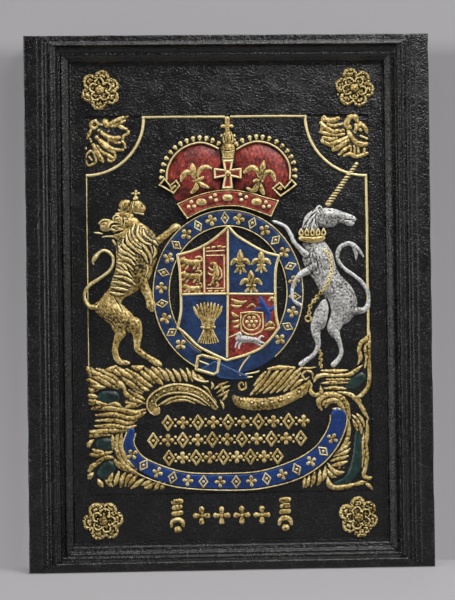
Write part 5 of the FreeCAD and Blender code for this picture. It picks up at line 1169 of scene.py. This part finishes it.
# Two curved crests over the tablet, the left one beaded inside its double line
crests = blankRelief((-108, 188, 108, 252), 0.45)
limbs(crests, [
    (0.42, [(-94, 196, 7), (-100, 205, 5.5), (-95, 214, 6.5), (-82, 221, 7), (-66, 223, 7), (-50, 221, 7),
            (-35, 215, 7), (-24, 206, 6), (-19, 199, 4)]),
    (0.5, [(4, 212, 3), (10, 206, 6.5), (22, 203, 8), (38, 202, 8), (54, 203.5, 8), (70, 208, 7),
           (84, 216, 7), (95, 224, 4.5), (99, 230, 2)]),
    (0.04, [(30, 219, 6), (50, 228, 12), (70, 233, 13), (88, 236, 9), (98, 238, 6)]),
], soft=0.4)
ridges(crests, [
    (1.9, strand(1.7, (-95, 190.5), (-103, 197), (-104, 206), (-99, 215), (-87, 223.5), (-70, 228.5),
                 (-54, 227.5), (-38, 222), (-26, 212), (-16, 199))),
    (1.9, strand(1.6, (-92, 201), (-93, 206), (-88, 212), (-78, 216.5), (-65, 218), (-50, 216),
                 (-38, 210.5), (-26, 201))),
], over=-3)
beadLine = curve([(-98, 208), (-92, 215.5), (-80, 221), (-66, 223), (-52, 221.5), (-38, 216), (-28, 208)],
                 0.5)
leftPits = [beadLine[int(k * (len(beadLine) - 1) / 8)] for k in range(9)]
rightPits = [(13, 209), (26, 205), (39, 203.4), (51, 205), (62, 207.6), (72, 210.4), (85, 217)]
for places, deep, wide, beadHigh, beadHalf in ((leftPits, -2.2, 3.0, 1.6, 1.3),
                                               (rightPits, -2.6, 3.6, 2.2, 1.9)):
    # a pit with a bead in it
    pits = [(deep, [(x - 0.2, z, wide), (x + 0.2, z, wide)]) for x, z in places]
    ridges(crests, pits + [dot(beadHigh, x, z, beadHalf) for x, z in places])
limbs(crests, blades(1.05, 2.0, [
    [(-92, 201), (-82, 207), (-70, 212), (-56, 212.5), (-43, 208), (-30, 201)],
    [(-82, 203), (-70, 208), (-56, 208.5), (-44, 204)], [(-24, 231), (-22, 226), (-24, 221)],
    [(-20, 222), (-12, 227), (-3, 231)], [(-17, 217), (-8, 223), (0, 226)],
    [(-16, 212), (-9, 216), (-2, 220)], [(-12, 206), (-7, 211), (-4, 218)],
    [(-14, 228), (-10, 222), (-10, 215)], [(-34, 226), (-29, 222), (-24, 215)],
    [(-9, 197), (-10, 202), (-13, 208)],
], ends=0.5) + blades(1.0, 3.1, [
    [(25, 214), (33, 222), (42, 233), (51, 246)], [(32, 215), (44, 226), (55, 238), (61, 246)],
    [(41, 216), (52, 226), (63, 238), (71, 247)], [(50, 216), (60, 226), (72, 239), (80, 247)],
    [(58, 217), (69, 227), (80, 239), (89, 247)], [(67, 218), (77, 229), (87, 240)],
    [(76, 220), (84, 228), (90, 232)], [(47, 246), (62, 247.5), (80, 247)],
    [(30, 226), (38, 235), (44, 242)],
], ends=0.5) + blades(1.0, 1.7, [
    [(88, 247), (97, 246), (106, 247)],
    [(103, 232), (102, 240), (95, 243), (90, 238), (93, 232.5), (98, 235)],
    [(97, 231), (101, 225), (98, 218)], [(91, 225), (95, 219), (92, 213)],
    [(19, 230), (19, 223), (13, 220.5), (10.5, 226), (14, 229.5), (16.5, 226)],
    [(79, 222), (80, 213), (88, 211.5), (92, 217)],
], ends=0.6), soft=0.3)
weathered(crests, 0.2, 2.4, seed=7)
castRelief("crescentScrolls", crests, seats["field"], gilt, ["crescents"], lipMm=1.8, shy=0.9)

greenStones = blankRelief((-178, 92, 178, 242), 0.7)
limbs(greenStones, [
    (0.35, [(-157, 213, 8.5), (-146, 213, 8.5)]), (0.35, [(-160, 155, 8.5), (-154, 155, 8.5)]),
    (0.35, [(-159, 119, 8), (-152, 127, 8.5)]), (0.35, [(147, 223, 4), (156, 228, 7.5), (164, 234, 6)]),
    (0.5, [(161, 178, 2), (159, 160, 5), (158, 140, 6.5), (154, 120, 7), (144, 106, 6), (130, 101, 3.5)]),
])
weathered(greenStones, 0.15, 5.0, seed=8)
castRelief("greenStones", greenStones, seats["field"], green, ["green_stones"], lipMm=1.8)

# Blue ribbon under the tablet, a flat band between two gilt lines, with generic studs
ribbonLine = [(-124, 171, 4.6), (-127.4, 156, 6.6), (-121.6, 140.6, 8.2), (-107, 127.6, 9.2),
              (-80, 115, 10.2), (-50, 108.5, 9.4), (0, 106.5, 10), (40, 109, 10.6), (80, 120.5, 11.6),
              (107, 136, 11), (124, 155, 11), (132.5, 173, 10.4), (134.5, 187, 10)]
ribbonPiece = blankRelief((-144, 90, 152, 200), 0.7)
bands(ribbonPiece, [(3.2, ribbonLine)])
weathered(ribbonPiece, 0.12, 5.0, seed=9)
castRelief("ribbonBand", ribbonPiece, seats["field"], ribbonBlue, ["ribbon_band"], shy=0.3)
ribbonLines = blankRelief((-146, 88, 154, 202), 0.5)
limbs(ribbonLines, [(1.2, [(x, z, 1.15) for x, z in line]) for line in (
    [(-129.6, 170), (-134.6, 153), (-129, 132), (-115, 118), (-82, 104.5), (-50, 98.6), (0, 96), (40, 98),
     (82, 108.5), (112, 126), (132, 148), (143, 172), (145, 187)],
    [(-118.6, 168), (-120.6, 158), (-117, 148.6), (-107, 137.6), (-80, 125.5), (-50, 118.4), (0, 117),
     (40, 120), (80, 133), (103, 147), (116, 163), (123, 178), (124, 187)],
)])
stepUp(ribbonLines, 2.2)
castRelief("ribbonEdges", ribbonLines, seats["field"], gilt, ["ribbon_edges"], shy=3.0)
ribbonTips = ((4.4, 0), (-4.4, 0), (0, 4.8), (0, -4.8))
ribbonStuds = []
ribbonCurve = curve([(x, z) for x, z, half in ribbonLine], 0.5)
for k in range(15):
    i = int((k + 1.5) * (len(ribbonCurve) - 2) / 17)
    cx, cz = ribbonCurve[i]
    ax, az = ribbonCurve[i + 1][0] - cx, ribbonCurve[i + 1][1] - cz
    size = math.hypot(ax, az)
    ax, az = ax / size, az / size
    if k % 2:
        ribbonStuds += lozenge(cx, cz, 5, 7, 1.15, 2, ax, az)
    else:
        ribbonStuds += leaves(0.8, cx, cz, ribbonTips, 2.5, 1.6, 0.4, ax, az)
charges("ribbonStuds", ribbonStuds, gilt, base=2.8)

# Tablet: three rows of generic ornament, lozenges and four-leaved flowers between pairs of pellets
rowPlaces = {"z": (180.5, 159, 137), "left": (-88, -106, -86), "right": (100, 96, 66), "pitch": 19.0}
rowTips = ((0, 5), (0, -5), (4.6, 0), (-4.6, 0))
marks = []
for z, left, right in zip(rowPlaces["z"], rowPlaces["left"], rowPlaces["right"]):
    count = int((right - left) / rowPlaces["pitch"]) + 1
    for k in range(count):
        x = left + (right - left) * (k + 0.5) / count
        if k % 2:
            marks += leaves(0.85, x, z, rowTips, 3.0, 1.8, 0.35)
        else:
            marks += lozenge(x, z, 6, 8.4, 1.7, 2.1)
        if k < count - 1:
            gap = x + (right - left) / count / 2
            marks += [dot(0.9, gap, z + dz, 1.8) for dz in (-4, 4)]
charges("ornamentRows", marks, gilt, ["ornament_rows"], base=0.8)
print("compartment carved")


# Double roses in the four corners of the margin: six scalloped petals, five more inside them, a rough boss
rosettes = {
    "rosette_top_left": (-157.6, 595, 0.4), "rosette_top_right": (159, 595, 0.9),
    "rosette_bottom_left": (-159.5, 61, 0.1), "rosette_bottom_right": (158, 60, 0.7),
}
roseLook = {"reach": 30, "bed": 21, "outer": (6, 15.4, 10.2, 3.6), "inner": (5, 9.2, 7.0, 4.8),
            "crest": 0.74, "specks": 60, "boss": 6.4, "seedRing": 3.7, "seedTurn": 1.257, "seed": 2.4}
for index, (name, (cx, cz, start)) in enumerate(rosettes.items()):
    reach = roseLook["reach"]
    flower = blankRelief((cx - reach, cz - reach, cx + reach, cz + reach), 0.45)
    rng = np.random.default_rng(40 + index)
    limbs(flower, [dot(0.06, cx, cz, roseLook["bed"])])
    specks = []
    for ringName in ("outer", "inner"):
        petals, out, radius, rise = roseLook[ringName]
        # no two petals alike, as in a pattern cut by eye
        for k in range(petals):
            a = start + 2 * math.pi * k / petals + rng.normal(0, 0.06)
            far = out + rng.normal(0, 0.5)
            ax, az = math.cos(a), math.sin(a)
            petal = (cx + far * ax, cz + far * az, radius * rng.normal(1, 0.05), rise + rng.normal(0, 0.4))
            cups(flower, [petal], crest=roseLook["crest"])
            if ringName == "outer":
                # a swelling across the petal
                x, z = cx + (far + 2) * ax, cz + (far + 2) * az
                specks.append((3.0, [(x - 1.4 * az, z + 1.4 * ax, 2.9), (x + 1.4 * az, z - 1.4 * ax, 2.9)]))
        pressed(flower, cx, cz, out - 2.2, 1.4)
    for k in range(roseLook["specks"]):
        a, far = rng.uniform(0, 2 * math.pi), rng.uniform(7, 22)
        specks.append(dot(rng.uniform(0.6, 2.2), cx + far * math.cos(a), cz + far * math.sin(a), 1.5))
    ridges(flower, specks)
    weathered(flower, 0.9, 1.9, seed=20 + index)
    limbs(flower, [dot(0.9, cx, cz, roseLook["boss"])], soft=0.2)
    seeds = [(cx, cz)]
    for k in range(5):
        a = start + roseLook["seedTurn"] * k
        seeds.append((cx + roseLook["seedRing"] * math.cos(a), cz + roseLook["seedRing"] * math.sin(a)))
    ridges(flower, [dot(1.3, x, z, roseLook["seed"]) for x, z in seeds])
    castRelief(camel(name), flower, seats["margin"], gilt, [name], lipMm=1.7, shy=0.8)


def carved(strokes, half, lift=0.85, ends=0.75):
    # strokes of their own width, all widened by half and drawn in at the ends
    return [(lift, strand(half * wide, *line, ends=ends)) for wide, line in strokes]


# Shells in the top corners of the field: a scroll at the hinge, forked ribs and a scalloped lip
shellLeft = blankRelief((-182, 494, -116, 568), 0.45)
limbs(shellLeft, [(0.04, [(-166, 550, 9), (-154, 540, 14), (-150, 526, 14), (-160, 514, 9)]),
                  (0.04, [(-170, 510, 5), (-168, 506, 5)])])
limbs(shellLeft, carved([
    (2.2, [(-160.5, 552), (-163, 556.4), (-167.6, 555.6), (-169.6, 551), (-166, 547.6), (-162.6, 549.6)]),
    (1.6, [(-165.6, 552), (-165.2, 552.2)]), (2.0, [(-169, 547), (-171.6, 541), (-174.4, 535)]),
    (2.4, [(-171, 534), (-170, 531.6)]), (2.4, [(-177.6, 528), (-176.6, 522.6)]),
    (4.6, [(-151.6, 555.6), (-149.6, 551.6)]), (2.2, [(-160, 552.6), (-155, 552)]),
    (2.6, [(-148, 552), (-140, 556), (-132, 559.4), (-123.6, 562.8)]),
    (2.2, [(-146, 550.4), (-138, 551.4), (-133, 554.4), (-127.6, 557.4)]),
    (2.2, [(-136, 552.4), (-132, 549), (-125, 546.4)]),
    (2.8, [(-160, 544.6), (-150, 537.4), (-142, 535.4), (-134.6, 536)]),
    (2.2, [(-150, 535.4), (-140, 530.6), (-133.4, 529)]),
    (2.8, [(-163, 536.4), (-154, 527), (-148, 522), (-141, 517.6)]),
    (2.2, [(-157.6, 533.4), (-149, 525.4), (-142, 521.4), (-130, 520.4)]),
    (3.0, [(-167, 527), (-162, 518), (-158, 510.6), (-155.6, 507)]),
    (2.3, [(-162, 526), (-156, 517.6), (-148, 513.6), (-141.6, 509.6)]),
    (1.7, [(-125.4, 546.4), (-122.8, 543), (-124.4, 540), (-129, 538), (-130, 534.6), (-130.6, 531),
           (-128, 527.6), (-127, 523)]),
    (1.7, [(-141.6, 517.6), (-139.4, 513), (-142.4, 508), (-147, 506.4), (-149.4, 510)]),
    (1.7, [(-175.4, 516), (-169, 519.4), (-164.6, 514), (-163.6, 506.4), (-168, 503), (-174, 502),
           (-177, 508.6), (-175.4, 516)]),
    (1.8, [(-172, 512), (-169, 508)]),
], 1.25), soft=0.3)
weathered(shellLeft, 0.3, 2.6, seed=31)
castRelief("cornerShellLeft", shellLeft, seats["field"], gilt, ["corner_shell_left"], lipMm=1.8, shy=1.0)
shellRight = blankRelief((108, 494, 182, 568), 0.45)
limbs(shellRight,
      [(0.04, [(136, 546, 13), (134, 534, 11), (148, 530, 8)]), (0.04, [(160, 542, 8), (162, 520, 9)])])
limbs(shellRight, carved([
    (2.7, [(121, 556), (130, 555), (138.6, 557.4)]), (1.9, [(118, 554.6), (121, 559.4), (125, 556)]),
    (2.5, [(117, 552), (123, 546), (130, 541.6), (137, 541), (145, 542.4)]),
    (1.8, [(125, 551), (133, 548.4), (144, 551)]), (1.9, [(117, 552), (119, 547), (116, 540.4)]),
    (2.0, [(116, 540.4), (124, 539), (132, 536.6), (145.6, 538)]),
    (2.3, [(119.6, 533.6), (127, 532), (136, 533)]),
    (1.9, [(119.6, 533.6), (119, 529), (125, 526), (131, 523.4), (133, 518.6)]),
    (2.5, [(127.4, 525), (137, 528), (150, 533.4)]), (2.9, [(133, 518.6), (141, 523.4), (151, 530)]),
    (2.7, [(162, 554.6), (160, 559.4), (155, 560), (151, 556), (149, 550), (151, 545.4)]),
    (2.5, [(151, 541.6), (154, 535), (159, 529), (166, 525), (177, 525)]),
    (2.6, [(153, 547), (153.6, 546)]), (1.9, [(160.4, 549.6), (167.6, 552.4)]),
    (2.3, [(159.6, 540.6), (162, 546), (168, 549.4), (173, 544), (176.6, 538.6)]),
    (2.5, [(166, 543.6), (166.4, 543)]), (1.8, [(166, 535.4), (176.6, 531.4)]),
    (2.1, [(139.6, 512.4), (146, 518), (152.6, 522.4)]), (1.8, [(154, 522), (154, 513.6)]),
    (1.8, [(158, 523), (159, 513)]), (1.8, [(163, 521), (164, 511)]), (1.8, [(171, 519), (170, 511)]),
    (2.1, [(145.6, 511), (153, 513), (162, 510), (176.6, 514)]),
], 1.5), soft=0.3)
weathered(shellRight, 0.3, 2.6, seed=32)
castRelief("cornerShellRight", shellRight, seats["field"], gilt, ["corner_shell_right"], lipMm=1.8, shy=1.0)


# Gilt line round the field, with a quarter circle let into each top corner
def quarterTurn(cx, cz, radius, first, last):
    turns = np.radians(np.linspace(first, last, 22))
    return [(cx + radius * math.cos(a), cz + radius * math.sin(a)) for a in turns]


fillet = blankRelief((-184, 246, 182, 568), 0.6)
limbs(fillet, [(1.0, [(x, z, 2.0) for x, z in line]) for line in (
    [(-105, 561), (-60, 561.4), (-4, 561)], [(5, 561), (50, 561.4), (98, 561)],
    quarterTurn(-176, 561, 72, 0, -90), quarterTurn(172.5, 561, 75, 180, 270),
    [(-176.5, 489), (-177, 430), (-176.6, 370), (-177, 310), (-176.6, 254)],
    [(172.6, 486), (173.2, 430), (172.8, 370), (173.2, 320), (173, 286)],
)])
weathered(fillet, 0.12, 5.0, seed=33)
castRelief("borderFillet", fillet, seats["field"], gilt, ["border_fillet"], lipMm=3.6)

# Base strip: four-leaved flowers between two small balusters
stripPlaces = {"flowers": (-38, -13, 12, 37), "flowerZ": 65, "balusters": (-68, 66)}
stripTips = ((0, 8), (0, -8), (7.4, 0), (-7.4, 0))
strip = []
for x in stripPlaces["flowers"]:
    z = stripPlaces["flowerZ"]
    strip += leaves(0.7, x, z, stripTips, 3.6, 2.2, 0.35) + [dot(0.9, x, z, 2.8)]
for x in stripPlaces["balusters"]:
    # three rings, a ball and a crescent over it
    strip += [(0.6, [(x - 4.4, 82.6, 3.4), (x + 4.4, 83.6, 3.4)]),
              (0.6, [(x - 3.6, 75.4, 3.3), (x + 3.6, 76.4, 3.3)]),
              (0.6, [(x - 4.4, 68.2, 3.2), (x + 4.4, 69.2, 3.2)]),
              (0.85, [(x, 48.4, 4.5), (x + 0.8, 48.4, 4.5)]),
              (0.9, [(x - 7.6, 53, 2.2), (x - 6, 58.2, 3), (x, 60.8, 3.4), (x + 6, 58.2, 3),
                     (x + 7.6, 53, 2.2)])]
stripPiece = blankRelief((-84, 40, 82, 92), 0.45)
limbs(stripPiece, strip, soft=0.3)
weathered(stripPiece, 0.3, 2.6, seed=34)
castRelief("stripFlowers", stripPiece, seats["margin"], gilt, ["strip_flowers"], lipMm=1.8)
print("corners and strip carved")


# Stage: a pale floor, a pale grey sheet close behind the plate, soft light from above
stageLook = {"sheet": "#565557", "glow": 0.33, "glowBeside": 0.2, "sheetY": 0.0265, "floor": "#8a898b",
             "floorGlow": 0.18, "world": "#d2d0ce", "worldStrength": 0.2, "keyWatts": 25.0,
             "topWatts": 14.0, "leftWatts": 11.0, "rightWatts": 5.0, "backWatts": 8.0}


def stageSheet(name, corners):
    mesh = bpy.data.meshes.new(name)
    mesh.from_pydata(corners, [], [(0, 1, 2, 3)])
    sheet = bpy.data.objects.new(name, mesh)
    bpy.context.scene.collection.objects.link(sheet)
    material, tree, place = newMaterial(name + "Paper")
    mesh.materials.append(material)
    return sheet, tree, place


def seenGlow(tree, strength):
    # a glow for the camera and for mirrors only, so that it puts no light on the plate
    path = addNode(tree, "ShaderNodeLightPath")
    mirrored = addNode(tree, "ShaderNodeMath",
                       {0: path.outputs["Is Glossy Ray"], 1: path.outputs["Is Transmission Ray"]},
                       operation="MAXIMUM")
    seen = addNode(tree, "ShaderNodeMath",
                   {0: path.outputs["Is Camera Ray"], 1: mirrored.outputs["Value"]}, operation="MAXIMUM")
    level = addNode(tree, "ShaderNodeMath", {0: seen.outputs["Value"], 1: strength}, operation="MULTIPLY")
    return addNode(tree, "ShaderNodeEmission",
                   {"Color": linear("#fffcff"), "Strength": level.outputs["Value"]})


def backSheet():
    half, y = 3.0, stageLook["sheetY"]
    corners = [(-half, y, -0.002), (half, y, -0.002), (half, y, half), (-half, y, half)]
    sheet, tree, place = stageSheet("backSheet", corners)
    # paper from the front and clear from behind, so that the plate's back can be looked at
    behind = addNode(tree, "ShaderNodeNewGeometry").outputs["Backfacing"]
    paper = addNode(tree, "ShaderNodeBsdfDiffuse", {"Color": linear(stageLook["sheet"])})
    # less glow beside the plate, where its shadow falls
    where = addNode(tree, "ShaderNodeSeparateXYZ", {"Vector": place})
    beside = addNode(tree, "ShaderNodeMath", {0: where.outputs["X"]}, operation="ABSOLUTE")
    fade = addNode(tree, "ShaderNodeMapRange",
                   {"Value": beside.outputs["Value"], "From Min": 0.2, "From Max": 0.27,
                    "To Min": stageLook["glow"], "To Max": stageLook["glowBeside"]},
                   interpolation_type="SMOOTHSTEP")
    over = addNode(tree, "ShaderNodeMapRange",
                   {"Value": where.outputs["Z"], "From Min": 0.6, "From Max": 0.67,
                    "To Max": stageLook["glow"]}, interpolation_type="SMOOTHSTEP")
    plain = addNode(tree, "ShaderNodeMath",
                    {0: fade.outputs["Result"], 1: over.outputs["Result"]}, operation="MAXIMUM")
    # painted light: the glow is made brighter towards the bottom of the sheet
    lower = addNode(tree, "ShaderNodeMapRange",
                    {"Value": where.outputs["Z"], "From Min": -0.05, "From Max": 0.7, "To Min": 1.4,
                     "To Max": 0.86})
    level = addNode(tree, "ShaderNodeMath",
                    {0: plain.outputs["Value"], 1: lower.outputs["Result"]}, operation="MULTIPLY")
    glow = seenGlow(tree, level.outputs["Value"])
    front = addNode(tree, "ShaderNodeAddShader", {0: paper.outputs["BSDF"], 1: glow.outputs["Emission"]})
    clear = addNode(tree, "ShaderNodeBsdfTransparent")
    either = addNode(tree, "ShaderNodeMixShader",
                     {0: behind, 1: front.outputs["Shader"], 2: clear.outputs["BSDF"]})
    addNode(tree, "ShaderNodeOutputMaterial", {"Surface": either.outputs["Shader"]})
    sheet.visible_shadow = False


def paleFloor():
    half, z = 6.0, -0.0006
    corners = [(-half, -half, z), (half, -half, z), (half, half, z), (-half, half, z)]
    tree = stageSheet("paleFloor", corners)[1]
    paper = addNode(tree, "ShaderNodeBsdfDiffuse", {"Color": linear(stageLook["floor"])})
    glow = seenGlow(tree, stageLook["floorGlow"])
    front = addNode(tree, "ShaderNodeAddShader", {0: paper.outputs["BSDF"], 1: glow.outputs["Emission"]})
    addNode(tree, "ShaderNodeOutputMaterial", {"Surface": front.outputs["Shader"]})


def softBox(name, spot, aim, size, watts):
    lamp = bpy.data.lights.new(name, "AREA")
    lamp.shape = "RECTANGLE"
    lamp.size, lamp.size_y = size
    lamp.energy = watts
    box = bpy.data.objects.new(name, lamp)
    box.location = spot
    box.rotation_euler = (Vector(aim) - Vector(spot)).to_track_quat("-Z", "Y").to_euler()
    bpy.context.scene.collection.objects.link(box)


backSheet()
paleFloor()
softBox("keyBox", (0.75, -1.15, 1.75), (0, 0, 0.33), (0.8, 0.6), stageLook["keyWatts"])
softBox("topBox", (0.1, -0.5, 1.85), (0, 0, 0.3), (1.4, 0.5), stageLook["topWatts"])
softBox("leftBox", (-1.7, -0.5, 0.5), (0, 0, 0.33), (0.5, 0.9), stageLook["leftWatts"])
softBox("rightBox", (1.7, -0.5, 0.5), (0, 0, 0.33), (0.5, 0.9), stageLook["rightWatts"])
softBox("backBox", (0.6, 1.9, 1.2), (0, 0, 0.33), (1.2, 1.2), stageLook["backWatts"])
world = bpy.data.worlds.new("studio")
world.use_nodes = True
world.node_tree.nodes["Background"].inputs["Color"].default_value = linear(stageLook["world"])
world.node_tree.nodes["Background"].inputs["Strength"].default_value = stageLook["worldStrength"]
bpy.context.scene.world = world

# camera: nearly square on, a little left of the middle, turned a touch
lens = bpy.data.cameras.new("camera")
lens.lens = 85
camera = bpy.data.objects.new("camera", lens)
camera.location = (-0.0597, -1.7652, 0.3187)
camera.rotation_euler = [math.radians(turn) for turn in (90.446, 0.715, -1.857)]
bpy.context.scene.collection.objects.link(camera)
bpy.context.scene.camera = camera
bpy.context.scene.view_settings.view_transform = "Standard"
print("stage set")
